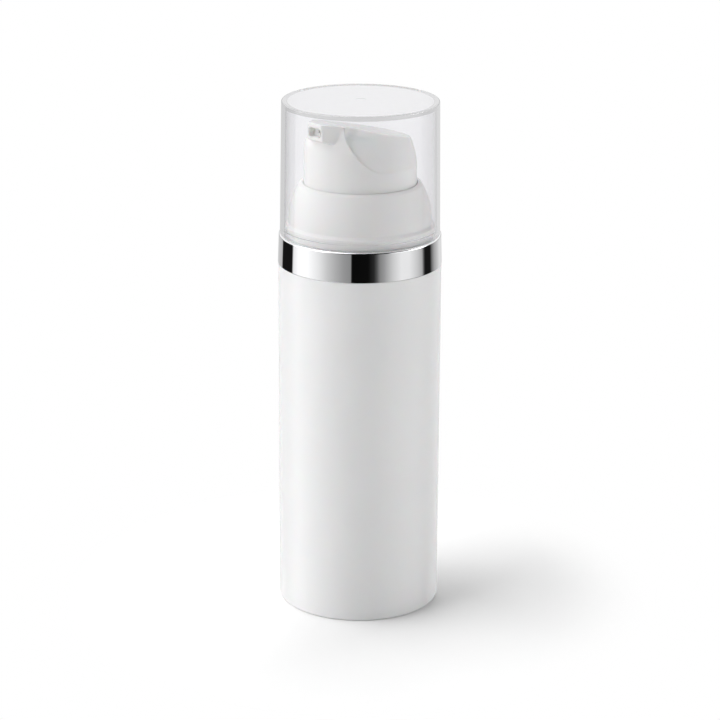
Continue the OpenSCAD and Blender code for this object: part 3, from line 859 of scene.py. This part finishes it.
@dataclass(frozen=True)
class PressHead:
    """Press head: its outside follows HeadShape, with the orifice in the spout and a hollow underside."""

    shape: HeadShape = field(default_factory=HeadShape)
    hub_y: float = -10.5
    ray: float = 30.0
    short_ray: float = 4.0
    # Columns of the mesh: bearings from the spout, and the columns between one and the next
    fan_degrees: tuple = (0, 24, 88, 112, 180)
    fan_counts: tuple = (44, 100, 84, 50)
    # Rows of the mesh: single ones low on the side, then (first height, last height, rows), then
    # the steps up to the rim's pivot, round the rim, and over the top
    low_rows: tuple = (94.0, 97.0, 99.4, 100.5)
    scoop_rows: tuple = (100.8, 104.4, 26)
    side_steps: int = 41
    rim_steps: int = 16
    top_steps: int = 25
    # How far the rim's pivot lies in and down from the rim, and how the rim is found
    back: float = 0.8
    rim_guess: float = 108.0
    rim_rounds: int = 60
    orifice_z: float = 109.35
    orifice_half: tuple = (1.75, 0.95)
    orifice_corner: float = 0.5
    orifice_edge: float = 0.24
    orifice_depth: float = 1.3
    orifice_back_edge: float = 0.25
    orifice_steps: tuple = (7, 4)
    orifice_draft: float = 0.02
    orifice_foot_in: float = 0.05
    # Where the orifice's wall has rings, as shares of its straight part
    wall_shares: tuple = (0.35, 0.7, 1.0)
    # Which cells the orifice takes: how many columns are looked at on each side, how far the cells
    # reach past it, and how near the spout's face they lie
    search: int = 60
    margin: float = 0.02
    row_slack: float = 0.16
    flat_row: float = 0.02
    flat_column: float = 0.05
    channel_r: float = 0.3
    # The channel's rings: share of its radius, depth behind the orifice, and turn of the normals
    channel_rings: tuple = ((1.03, 0.0, 0.4), (0.97, 0.15, np.pi / 2), (0.97, 2.2, np.pi / 2))
    wall: float = 1.2
    foot_edge: float = 0.2
    hollow_z: tuple = (96.0, 99.5, 101.5, 103.0, 104.0)
    roof: float = 1.75
    roof_step: float = 0.5
    roof_r: tuple = (8.0, 6.0, 4.2, 4.0)
    roof_top: float = 109.5
    # The hub under the roof and the stem's socket in it, as (radius, height)
    hub: tuple = ((4.0, 96.2), (3.85, 96.03), (2.45, 96.03), (2.27, 96.25), (2.27, 100.5), (0.9, 100.5), (0.9, 101.6))

    def ways(self) -> Array:
        """Unit directions of the mesh columns, from the spout round and back, closest where the detail is.

        Returns:
            Level unit vectors, one row each.
        """
        steps = [np.linspace(a, b, n, endpoint=False)
                 for a, b, n in zip(self.fan_degrees, self.fan_degrees[1:], self.fan_counts)]
        half = np.concatenate(steps)
        angle = np.radians(np.concatenate([half, [180], -half[:0:-1]]))
        return np.column_stack([np.sin(angle), -np.cos(angle), 0 * angle])

    def rays(self, ways: Array, z: Union[float, Array], solid: Callable) -> Array:
        """Points where level rays from the upright line through the spout's root leave a solid.

        Args:
            ways: Unit directions, one row each.
            z: The rays' heights.
            solid: The solid's field.

        Returns:
            The points.
        """
        start = np.column_stack([0 * ways[:, 0], np.full(len(ways), self.hub_y), z + 0 * ways[:, 0]])
        return first_exit(solid, start, ways, self.ray)

    def rim(self, ways: Array) -> tuple:
        """Where each column's side meets the top: distance from the root line, and height.

        The height is found by going back and forth between the side at a height and the top over it.

        Args:
            ways: Unit directions of the columns.

        Returns:
            Distances and heights, one of each for a column.
        """
        z = np.full(len(ways), self.rim_guess)
        for _ in range(self.rim_rounds):
            hit = self.rays(ways, z, self.shape.side)
            z = 0.5 * z + 0.5 * self.shape.top_height(hit[:, 1])
        return np.hypot(hit[:, 0], hit[:, 1] - self.hub_y), z

    def outside(self) -> Array:
        """Grid of points from the skirt's foot up the side, round the rim and over the top to the root line.

        Up the side, level rays find the field's surface. Round the rim, rays turn from level to
        upright about a pivot just inside it. Over the top, points lie on the pad's height.

        Returns:
            Points shaped (rows, columns, 3).
        """
        shape = self.shape
        foot = self.ways() * shape.radius - [0, self.hub_y, 0]
        ways = foot / np.linalg.norm(foot, axis=1, keepdims=True)
        far, high = self.rim(ways)
        lean = high - self.back
        bend = self.scoop_rows[1]
        rising = np.concatenate([[shape.skirt_z, *self.low_rows], np.linspace(*self.scoop_rows)])
        shares = np.linspace(0, 1, self.side_steps + 1)[1:]
        rows = [self.rays(ways, z, shape.solid) for z in rising]
        rows += [self.rays(ways, bend + (lean - bend) * share, shape.solid) for share in shares]
        root = np.array([0, self.hub_y, 0])
        pivot = ways * (far - self.back)[:, None] + root + lean[:, None] * [0, 0, 1]
        for tilt in np.radians(np.linspace(0, 90, self.rim_steps + 1)[1:]):
            way = ways * math.cos(tilt) + [0, 0, math.sin(tilt)]
            rows.append(first_exit(shape.solid, pivot, way, self.short_ray))
        for share in np.linspace(1, 0, self.top_steps + 1)[1:-1]:
            plan = ways * ((far - self.back) * share)[:, None] + root
            rows.append(plan + shape.top_height(plan[:, 1])[:, None] * [0, 0, 1])
        return np.array(rows)

    def outline(self, bearing: Array, grow: float) -> Array:
        """Orifice's outline, a rectangle with round corners, made larger or smaller.

        Args:
            bearing: Angles from the orifice's centre, from +X towards +Z.
            grow: How far it is made larger.

        Returns:
            Points as (x, height) from the centre, found by halving along each bearing.
        """
        half, corner = np.array(self.orifice_half) + grow, self.orifice_corner + grow
        way = np.column_stack([np.cos(bearing), 0 * bearing, np.sin(bearing)])
        edge = first_exit(lambda x, _y, z: rounded_rectangle(x, z, half, corner), 0 * way, way, self.short_ray)
        return edge[:, [0, 2]]

    def opening(self, rows: Array) -> tuple:
        """Grid cells that the orifice takes out of the spout's face.

        Args:
            rows: The outside's grid of points.

        Returns:
            The cells' rows and their columns.
        """
        half_x, half_z = np.array(self.orifice_half) + self.orifice_edge + self.margin
        front, width = rows[:, 0, :], rows.shape[1]
        on_face = np.abs(front[:-1, 1] + self.shape.reach) < self.flat_row
        height, limit = front[:, 2] - self.orifice_z, half_z + self.row_slack
        tall = np.flatnonzero(on_face & (height[:-1] > -limit) & (height[1:] < limit))
        order = np.arange(-self.search, self.search + 1) % width
        middle = rows[tall[len(tall) // 2], order]
        fits = (np.abs(middle[:, 0]) <= half_x) & (np.abs(middle[:, 1] + self.shape.reach) < self.flat_column)
        return tall, order[:-1][fits[:-1] & fits[1:]]

    def orifice(self, around: Array) -> tuple:
        """Rounded mouth, walls, rounded back and channel of the orifice.

        Each ring is the outline, or the channel's circle, at one size and depth. Its normals turn
        from the face's direction into the opening by an angle.

        Args:
            around: The grid's points round the opening.

        Returns:
            Positions and normals of the rings, shaped (rings, points, 3).
        """
        bearing = np.arctan2(around[:, 2] - self.orifice_z, around[:, 0])
        edge, depth, face, foot = self.orifice_edge, self.orifice_depth, -self.shape.reach, self.orifice_back_edge
        mouth, back = (np.radians(np.linspace(0, 90, steps + 1)) for steps in self.orifice_steps)
        back = back[1:]
        walls = edge + (depth - foot - edge) * np.array(self.wall_shares)
        drafted = [-self.orifice_draft * walls, -self.orifice_foot_in - foot * (1 - np.cos(back))]
        grow = np.concatenate([edge * (1 - np.sin(mouth)), *drafted])
        hole = self.channel_r * np.stack([np.cos(bearing), np.sin(bearing)], axis=1)
        share, step, tilt = np.array(self.channel_rings).T
        plan = np.array([self.outline(bearing, g) for g in grow] + [hole * s for s in share])
        deep = np.concatenate([edge * (1 - np.cos(mouth)), walls, depth - foot * (1 - np.sin(back)), depth + step])
        turn = np.concatenate([mouth, np.full(len(walls), np.pi / 2), np.pi / 2 - back, tilt])
        deep, turn = deep[:, None], turn[:, None]
        inward = -plan / np.linalg.norm(plan, axis=2, keepdims=True)
        points = np.stack([plan[..., 0], face + deep + 0 * plan[..., 0], self.orifice_z + plan[..., 1]], axis=2)
        normals = np.stack([inward[..., 0] * np.sin(turn), -np.cos(turn) + 0 * inward[..., 0],
                            inward[..., 1] * np.sin(turn)], axis=2)
        return points, normals

    def underside(self) -> Array:
        """Rings of the skirt's foot, the hollow under the roof, and the hub with the stem's socket.

        The hollow's wall follows the core's arc at the wall's thickness, and its roof follows the
        finger pad at the roof's thickness.

        Returns:
            Points shaped (rings, columns, 3).
        """
        shape, ways = self.shape, self.ways()[:, :2]
        inner_r, flat, edge = shape.radius - self.wall, np.full(len(ways), 1.0), self.foot_edge
        rings = [(shape.radius - edge, flat * shape.skirt_z), (inner_r + edge, flat * shape.skirt_z),
                 (inner_r, flat * (shape.skirt_z + edge))]
        arc_r = shape.core_arc - self.wall
        for z in self.hollow_z:
            r = shape.radius - shape.core_arc + math.sqrt(arc_r ** 2 - max(z - shape.core_z, 0) ** 2)
            rings.append((r, flat * z))
        for r in (rings[-1][0] - self.roof_step, *self.roof_r):
            roof = shape.top_height(r * ways[:, 1]) - self.roof
            rings.append((r, np.minimum(roof, self.roof_top)))
        rings += [(r, flat * z) for r, z in self.hub]
        return np.array([np.column_stack([r * ways, z]) for r, z in rings])

    def surface(self) -> Surface:
        """Puts the outside, the orifice and the underside together.

        Returns:
            The head's closed surface.
        """
        rows = self.outside()
        width, size = rows.shape[1], rows[..., 0].size
        index = np.arange(size).reshape(rows.shape[:2])
        pole = np.array([[0, self.hub_y, float(self.shape.top_height(np.array([self.hub_y]))[0])]])
        tall, wide = self.opening(rows)
        cells = strip_quads(index)
        keep = np.ones(cells.shape[:2], bool)
        keep[np.ix_(tall, wide)] = False
        low, high, last = tall[0], tall[-1] + 1, (wide[-1] + 1) % width
        across = np.append(wide, last)
        loop = np.concatenate([index[low, across], index[low + 1:high + 1, last], index[high, wide[::-1]],
                               index[low + 1:high, wide[0]][::-1]])
        grid = rows.reshape(-1, 3)
        holes, hole_normals = self.orifice(grid[loop])
        first = size + 1
        hole_index = np.vstack([loop, first + np.arange(holes[..., 0].size).reshape(holes.shape[:2])])
        end = first + holes[..., 0].size
        back = np.array([[0, -self.shape.reach + self.orifice_depth + self.channel_rings[-1][1], self.orifice_z]])
        under = self.underside()
        under_index = end + 1 + np.arange(under[..., 0].size).reshape(under.shape[:2])
        tip = end + 1 + under[..., 0].size
        verts = np.vstack([grid, pole, holes.reshape(-1, 3), back, under.reshape(-1, 3), [[0, 0, self.hub[-1][1]]]])
        inner_quads = strip_quads(under_index[:, ::-1]).reshape(-1, 4)
        inner_tris = fan(under_index[-1][::-1], tip)
        seam = strip_quads(np.vstack([index[0], under_index[0]])[:, ::-1]).reshape(-1, 4)
        inner = Surface.shaded(verts, inner_quads, inner_tris).normals[end + 1:]
        quads = np.vstack([cells[keep], strip_quads(hole_index).reshape(-1, 4), seam, inner_quads])
        tris = np.vstack([fan(index[-1], size), fan(hole_index[-1], end), inner_tris])
        normals = np.vstack([self.shape.normals(grid), [[0, 0, 1]], hole_normals.reshape(-1, 3), [[0, -1, 0]], inner])
        return Surface(verts, quads, tris, normals)

    def build(self, shop: Workshop) -> None:
        """Makes the head."""
        shop.make(Piece("press_head", "actuator_head", Body.HEAD, Slot.HEAD), self.surface())


# ---------------------------------------------------------------- collar and trim ring


@dataclass(frozen=True)
class DomedCollar:
    """White collar: spigot, seat, groove, snap bead, domed shoulder and the head's mouth."""

    spigot_z: float = 79.8
    spigot_r: float = 14.9
    bore_r: float = 13.4
    seat_z: float = 85.0
    band_r: float = 16.0
    bead_r: float = 16.4
    bead_z: tuple = (86.62, 87.95)
    bead_rise: float = 0.1
    bead_fall: float = 0.55
    dome_radii: tuple = (15.75, 16.4)
    dome_z: float = 88.0
    rim_z: float = 96.7
    mouth_r: float = 12.47
    mouth_depth: float = 2.1
    # The mouth's rounded rim: its two outer corners from the mouth's wall, and how the first sinks
    rim_corners: tuple = (0.57, 0.37)
    rim_fall: float = 0.08
    dome_start: float = 0.35
    dome_end: float = 0.4
    wall: float = 1.45
    # The vault under the dome, in degrees, and how far its wall stands in at the foot
    vault: tuple = (64, -4)
    vault_in: float = 0.03
    arc_steps: tuple = (40, 24)
    ledge_z: float = 86.95
    groove_r: float = 13.75
    groove_z: tuple = (83.75, 83.45, 82.95, 82.65)
    columns: int = 256

    def section(self) -> Array:
        """Half-section: up the outside, over the dome, and down the mouth, the vault and the bore.

        Returns:
            Points as (radius, height).
        """
        inner = (self.dome_radii[0] - self.wall, self.dome_radii[1] - self.wall)
        start = math.degrees(math.asin(self.dome_start / self.dome_radii[1]))
        end = math.degrees(math.asin((self.rim_z - self.dome_end - self.dome_z) / self.dome_radii[1]))
        (low, high), (outer, nearer), groove = self.bead_z, self.rim_corners, self.groove_z
        return rounded(np.vstack([
            [(self.bore_r, self.spigot_z, 0.15), (self.spigot_r, self.spigot_z, 0.3),
             (self.spigot_r, self.seat_z, 0.05), (self.band_r, self.seat_z, 0.08), (self.band_r, low, 0.12),
             (self.bead_r, low + self.bead_rise, 0.14), (self.bead_r, high - self.bead_fall, 0.3),
             (self.dome_radii[0], high, 0.35)],
            arc(self.dome_radii, self.dome_z, start, end, self.arc_steps[0]),
            [(self.mouth_r + outer, self.rim_z - self.rim_fall, 0.2), (self.mouth_r + nearer, self.rim_z, 0.2),
             (self.mouth_r, self.rim_z, 0.25), (self.mouth_r, self.rim_z - self.mouth_depth, 0.2)],
            arc(inner, self.dome_z, *self.vault, self.arc_steps[1]),
            [(inner[0] - self.vault_in, self.ledge_z, 0.2), (self.bore_r, self.ledge_z, 0.1),
             (self.bore_r, groove[0], 0), (self.groove_r, groove[1], 0.1), (self.groove_r, groove[2], 0.1),
             (self.bore_r, groove[3], 0)],
        ]), True)

    def build(self, shop: Workshop) -> None:
        """Makes the collar."""
        piece = Piece("domed_collar", "collar_shroud", Body.BOTTLE, Slot.HEAD)
        shop.make(piece, revolve(self.section(), True, self.columns))


@dataclass(frozen=True)
class TrimRing:
    """Bright ring between body and cap, with rounded edges and an inward lip."""

    low_z: float = 78.4
    high_z: float = 85.0
    low_r: float = 18.06
    high_r: float = 17.85
    bore_r: float = 17.0
    lip_r: float = 15.0
    lip_z: float = 84.2
    columns: int = 320

    def section(self) -> Array:
        """Half-section of the ring.

        Returns:
            Points as (radius, height).
        """
        return rounded(np.array([
            (self.bore_r, self.low_z, 0.1), (self.low_r, self.low_z, 0.13), (self.high_r, self.high_z, 0.3),
            (self.lip_r, self.high_z, 0.1), (self.lip_r, self.lip_z, 0.1), (self.bore_r, self.lip_z, 0.2),
        ]), True)

    def build(self, shop: Workshop) -> None:
        """Makes the ring."""
        piece = Piece("bright_ring", "trim_ring", Body.BOTTLE, Slot.RING)
        shop.make(piece, revolve(self.section(), True, self.columns))


# ---------------------------------------------------------------- body


@dataclass(frozen=True)
class OuterBody:
    """White outer shell with a rounded foot and a neck under the ring, and the plate in its foot."""

    radius: float = 18.0
    height: float = 78.4
    foot_edge: float = 0.6
    bore_r: float = 16.3
    foot_bore_r: float = 16.9
    neck_r: float = 16.95
    neck_z: float = 84.2
    neck_bore_r: float = 15.3
    step_z: float = 76.6
    plate_z: float = 1.9
    plate_foot_z: float = 0.5
    plate_top_z: float = 2.9
    plate_r: float = 16.85
    plate_step_r: float = 16.25
    relief_r: tuple = (4.4, 10.56)
    relief_z: float = 0.85
    vent_r: float = 0.75
    rib_r: tuple = (14.5, 15.45)
    rib_z: float = 6.4
    columns: int = 320
    plate_columns: int = 192

    def shell(self) -> Array:
        """Half-section of the shell.

        Returns:
            Points as (radius, height).
        """
        return rounded(np.array([
            (self.foot_bore_r, 0.0, 0.1), (self.radius, 0.0, self.foot_edge), (self.radius, self.height, 0.12),
            (self.neck_r, self.height, 0.1), (self.neck_r, self.neck_z, 0.15), (self.neck_bore_r, self.neck_z, 0.15),
            (self.neck_bore_r, self.step_z, 0.1), (self.bore_r, self.step_z, 0.15), (self.bore_r, self.plate_z, 0.05),
            (self.foot_bore_r, self.plate_z, 0.1),
        ]), True)

    def plate(self) -> Array:
        """Half-section of the foot plate: relief underneath, locating rib, and the vent in its middle.

        Returns:
            Points as (radius, height).
        """
        foot, top, (near, far), (rib_in, rib_out) = self.plate_foot_z, self.plate_top_z, self.relief_r, self.rib_r
        return rounded(np.array([
            (self.vent_r, foot, 0.1), (near, foot, 0.1), (near, self.relief_z, 0.12), (far, self.relief_z, 0.12),
            (far, foot, 0.1), (self.plate_r, foot, 0.2), (self.plate_r, self.plate_z, 0.1),
            (self.plate_step_r, self.plate_z, 0), (self.plate_step_r, top, 0.2), (rib_out, top, 0.1),
            (rib_out, self.rib_z, 0.2), (rib_in, self.rib_z, 0.2), (rib_in, top, 0.2), (self.vent_r, top, 0.1),
        ]), True)

    def build(self, shop: Workshop) -> None:
        """Makes the shell and the foot plate.

        Args:
            shop: Where the pieces are made.
        """
        shell = Piece("white_shell", "outer_shell", Body.BOTTLE, Slot.BODY)
        shop.make(shell, revolve(self.shell(), True, self.columns))
        plate = Piece("foot_plate", "base_plate", Body.BOTTLE, Slot.BODY)
        shop.make(plate, revolve(self.plate(), True, self.plate_columns))


# ---------------------------------------------------------------- pump engine


@dataclass(frozen=True)
class PumpEngine:
    """Hidden works: a fine wire spring, and finishes for the CAD nodes of the pump and the container."""

    coil_r: float = 4.4
    wire_r: float = 0.35
    turns: int = 6
    steps: int = 336
    sides: int = 12
    low_z: float = 85.28
    high_z: float = 94.82
    squeeze: float = 0.28
    foot_z: float = 84.9
    length: float = 10.3
    stroke: float = 4.0
    finishes: tuple = (
        ("inner_bottle", Slot.NATURAL), ("follower_piston", Slot.NATURAL), ("neck_closure", Slot.NATURAL),
        ("pump_housing", Slot.NATURAL), ("lock_ring", Slot.NATURAL), ("stem", Slot.NATURAL),
        ("valve_rod", Slot.NATURAL), ("spring_seat", Slot.NATURAL), ("pump_piston", Slot.NATURAL),
        ("ball_cage", Slot.NATURAL), ("neck_gasket", Slot.SEAL), ("stem_gasket", Slot.SEAL),
        ("inlet_ball", Slot.STEEL),
    )

    def spring(self) -> Surface:
        """Round wire carried along a coil whose end turns lie closer.

        At a share s of the wire, the coil's angle is 2 pi turns s, and its height is
        low + (high - low) * (s - squeeze * sin(2 pi s) / (2 pi)). The section is a circle in the
        plane through the axis.

        Returns:
            The wire's surface.
        """
        share = np.linspace(0, 1, self.steps + 1)[:, None]
        turn = 2 * np.pi * self.turns * share
        rise = share - self.squeeze * np.sin(2 * np.pi * share) / (2 * np.pi)
        middle = self.low_z + (self.high_z - self.low_z) * rise
        around = np.linspace(0, 2 * np.pi, self.sides, endpoint=False)
        r = self.coil_r + self.wire_r * np.cos(around)
        grid = np.stack([r * np.cos(turn), r * np.sin(turn), middle + self.wire_r * np.sin(around)], axis=2)
        index = np.arange(grid[..., 0].size).reshape(grid.shape[:2])
        ends = np.stack([grid[0].mean(axis=0), grid[-1].mean(axis=0)])
        verts = np.vstack([grid.reshape(-1, 3), ends])
        tris = np.vstack([fan(index[0], len(verts) - 2), fan(index[-1][::-1], len(verts) - 1)])
        return Surface.shaded(verts, strip_quads(index[:, ::-1]).reshape(-1, 4), tris)

    def build(self, shop: Workshop) -> None:
        """Makes the spring and dresses the CAD nodes.

        Args:
            shop: Where the piece is made.
        """
        made = shop.make(Piece("wire_spring", "return_spring", Body.BOTTLE, Slot.STEEL), self.spring())
        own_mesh(made)
        for node, slot in self.finishes:
            shop.dress(node, slot)


# ---------------------------------------------------------------- studio


CAMERA_AZIMUTH = math.radians(47.0)


@dataclass(frozen=True)
class CameraSetup:
    """The photograph's camera."""

    distance: float = 541.65
    height: float = 229.98
    pitch: float = 17.86
    yaw: float = 0.015
    roll: float = 0.295
    focal_px: float = 2548.9
    frame_px: float = 720.0
    sensor: float = 36.0
    clip: tuple = (0.01, 50.0)

    def build(self) -> None:
        """Creates the camera and makes it the scene's."""
        pitch, yaw, roll = (math.radians(v) for v in (self.pitch, self.yaw, self.roll))
        ahead = np.array([math.sin(yaw) * math.cos(pitch), math.cos(yaw) * math.cos(pitch), -math.sin(pitch)])
        right = np.array([math.cos(yaw), -math.sin(yaw), 0.0])
        up = np.cross(right, ahead)
        right, up = math.cos(roll) * right + math.sin(roll) * up, math.cos(roll) * up - math.sin(roll) * right
        c, s = math.cos(CAMERA_AZIMUTH), math.sin(CAMERA_AZIMUTH)
        turn = np.array([[c, -s, 0], [s, c, 0], [0, 0, 1]])
        data = bpy.data.cameras.new("camera")
        data.sensor_width = self.sensor
        data.lens = self.focal_px / self.frame_px * self.sensor
        data.clip_start, data.clip_end = self.clip
        camera = bpy.data.objects.new("camera", data)
        matrix = Matrix(np.column_stack([turn @ right, turn @ up, -(turn @ ahead)]).tolist()).to_4x4()
        matrix.translation = turn @ np.array([0, -self.distance, self.height]) * MM
        camera.matrix_world = matrix
        bpy.context.scene.collection.objects.link(camera)
        bpy.context.scene.camera = camera


@dataclass(frozen=True)
class LightBelt:
    """A belt of soft light round the bottle between two elevations.

    Its brightness is given for twelve sectors of 30 degrees. The first is centred opposite the
    camera, and they go on past the picture's left, the camera and the picture's right. Each keeps
    its brightness over the level degrees in its middle, and goes over into the next between.
    """

    low: float
    high: float
    sectors: tuple
    level: float = 20.0

    def stops(self) -> tuple:
        """Ramp stops of the belt's brightness round the bottle.

        Returns:
            (place, share of the peak) pairs, and the peak.
        """
        peak, half, first = max(self.sectors), self.level / 360 / 2, self.sectors[0]
        places = [(0.0, first), (half, first)]
        for number, bright in enumerate(self.sectors[1:], 1):
            centre = number / len(self.sectors)
            places += [(centre - half, bright), (centre + half, bright)]
        places.append((1.0 - half, first))
        return [(place, bright / peak) for place, bright in places], peak


@dataclass(frozen=True)
class Studio:
    """White surroundings, soft light from belts, and a pale floor."""

    belts: tuple = (
        LightBelt(0, 18, (0, 0.34, 1.2, 3.1, 1.6, 0, 0, 0, 2.3, 5.3, 0.6, 0)),
        LightBelt(18, 40, (0.5, 0.1, 0.5, 1.6, 2.2, 0.4, 0, 0, 0, 0.5, 0, 0.1)),
        LightBelt(40, 65, (2.1, 1.5, 2.7, 3.2, 2.9, 0, 0, 0, 0, 0, 0, 2.0)),
        LightBelt(65, 88, (2.6, 2.6, 3.0, 3.9, 3.3, 0.5, 0, 0, 0, 0, 0.5, 2.4)),
    )
    belt_soft: float = 2.0
    ambient: float = 0.01
    # A pale wall behind the bottle that only reflections see. Each pair says where it begins and where
    # it is full: round from the camera's side, up from the horizon, and down from above
    wall_azimuths: tuple = (95.0, 130.0)
    wall_rise: tuple = (3.0, 8.0)
    wall_end: tuple = (60.0, 40.0)
    # What mirrors see below the horizon: azimuth from the camera's side and brightness
    strip: tuple = (
        (-180, 0.72), (-141, 0.528), (-139, 0.008), (-109, 0.008), (-107.5, 0.88), (-95, 1.136), (-80, 1.16),
        (-59, 0.864), (-46, 0.616), (-34, 0.456), (-22, 0.328), (-12.4, 0.272), (-11.2, 0.0032), (12, 0.004),
        (20, 0.024), (24, 0.096), (28, 0.24), (34, 0.336), (47, 0.64), (60, 0.872), (73, 0.872), (88, 0.632),
        (97, 0.448), (101, 0.08), (104, 0.008), (117, 0.0096), (122, 0.192), (129, 0.4), (150, 0.76), (180, 0.72),
    )
    horizon: tuple = (-3.0, 1.0)
    # Brightness that reflections inside the clear cap's wall see
    inside_glass: float = 0.68
    # The floor's half width and how far it lies under the foot, in metres, and how white it is to
    # bounced light and to the camera
    floor_half: float = 6.0
    floor_drop: float = 0.00002
    floor_white: float = 0.9
    floor_seen: float = 0.99
    # The floor's shadow fades out between these distances from the bottle's axis, in metres
    floor_fade: tuple = (0.044, 0.068)

    def world(self) -> None:
        """Paints the surroundings: white to the camera and through the clear cap, belts of light to the rest."""
        world = bpy.data.worlds.new("studio")
        bpy.context.scene.world = world
        world.use_nodes = True
        net = Net(world.node_tree)
        net.tree.nodes.clear()
        place = net.add("ShaderNodeTexCoord", out="Generated")
        split = net.node("ShaderNodeSeparateXYZ", None, {0: place})
        x, y, z = (Sock(net, output) for output in split.outputs)
        towards = x * math.sin(CAMERA_AZIMUTH) - y * math.cos(CAMERA_AZIMUTH)
        aside = x * math.cos(CAMERA_AZIMUTH) + y * math.sin(CAMERA_AZIMUTH)
        share = aside.math("ARCTAN2", towards) / (2 * math.pi) + 0.5
        elevation = z.math("ARCSINE") * (180 / math.pi)
        light: Value = self.ambient
        soft = self.belt_soft
        for belt in self.belts:
            stops, peak = belt.stops()
            ramp = net.add("ShaderNodeValToRGB", {"stops": stops}, {0: share})
            rise = elevation.smooth(belt.low - soft, belt.low + soft)
            window = rise * elevation.smooth(belt.high + soft, belt.high - soft)
            light = ramp * window * peak + light
        peak = max(bright for _, bright in self.strip)
        stops = [((azimuth + 180) / 360, bright / peak) for azimuth, bright in self.strip]
        below = net.add("ShaderNodeValToRGB", {"stops": stops}, {0: share}) * peak
        above = elevation.smooth(*self.horizon)
        camera, through, reflected, diffuse, bounced, mirrored, passed = net.outputs(
            "ShaderNodeLightPath", "Is Camera Ray", "Is Transmission Ray", "Is Reflection Ray", "Is Diffuse Ray",
            "Diffuse Depth", "Glossy Depth", "Transmission Depth")
        wall = abs(share * 360.0 - 180.0).smooth(*self.wall_azimuths)
        wall = wall * elevation.smooth(*self.wall_rise) * elevation.smooth(*self.wall_end)
        light = light.math("MAXIMUM", wall * reflected * (1.0 - diffuse))
        inside = (passed > 0.5) * (mirrored > 0.5) * (bounced < 0.5)
        seen = through * ((mirrored + bounced) < 0.5) + camera
        surround = (light * above + below * (1.0 - above)) * (1.0 - inside) + inside * self.inside_glass
        lit = net.add("ShaderNodeBackground", None, {"Color": WHITE, "Strength": surround})
        plain = net.add("ShaderNodeBackground", None, {"Color": WHITE})
        net.node("ShaderNodeOutputWorld", None, {0: net.mix(seen, lit, plain)})

    def floor(self) -> bpy.types.Object:
        """Lays a white floor that mirrors don't see, a little whiter to the camera than to the light.

        Seen directly or through the clear cap it goes over into the white surroundings away from the bottle.

        Returns:
            The floor.
        """
        half, drop = self.floor_half, -self.floor_drop
        mesh = bpy.data.meshes.new("floor")
        mesh.from_pydata([(-half, -half, drop), (half, -half, drop), (half, half, drop), (-half, half, drop)], [],
                         [(0, 1, 2, 3)])
        floor = bpy.data.objects.new("floor", mesh)
        bpy.context.scene.collection.objects.link(floor)
        material = bpy.data.materials.new("floor")
        material.use_nodes = True
        net = Net(material.node_tree)
        net.tree.nodes.clear()
        camera, through, diffuse, bounced, mirrored = net.outputs(
            "ShaderNodeLightPath", "Is Camera Ray", "Is Transmission Ray", "Is Diffuse Ray", "Diffuse Depth",
            "Glossy Depth")
        white, whiter = (net.add("ShaderNodeBsdfDiffuse", None, {"Color": (v, v, v, 1)})
                         for v in (self.floor_white, self.floor_seen))
        place = net.add("ShaderNodeTexCoord", out="Object")
        away = net.add("ShaderNodeVectorMath", {"operation": "LENGTH"}, {0: place}, out="Value")
        fade = away.smooth(*self.floor_fade) * (camera + through) * (bounced < 0.5)
        paint = net.mix(fade, net.mix(diffuse, whiter, white), net.add("ShaderNodeEmission", None, {"Color": WHITE}))
        clear = net.add("ShaderNodeBsdfTransparent")
        net.node("ShaderNodeOutputMaterial", None, {0: net.mix(mirrored > 0.5, paint, clear)})
        mesh.materials.append(material)
        return floor

    def build(self) -> None:
        """Makes the surroundings and the floor."""
        self.world()
        self.floor()


def main() -> None:
    """Builds the scene."""
    logging.basicConfig(level=logging.INFO, format="%(name)s: %(message)s")
    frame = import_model()
    shop = Workshop(frame)
    for assembly in (Overcap(), PressHead(), DomedCollar(), TrimRing(), OuterBody(), PumpEngine()):
        assembly.build(shop)
    Studio().build()
    CameraSetup().build()
    bpy.context.scene.view_settings.view_transform = "Standard"


if __name__ == "__main__":
    main()
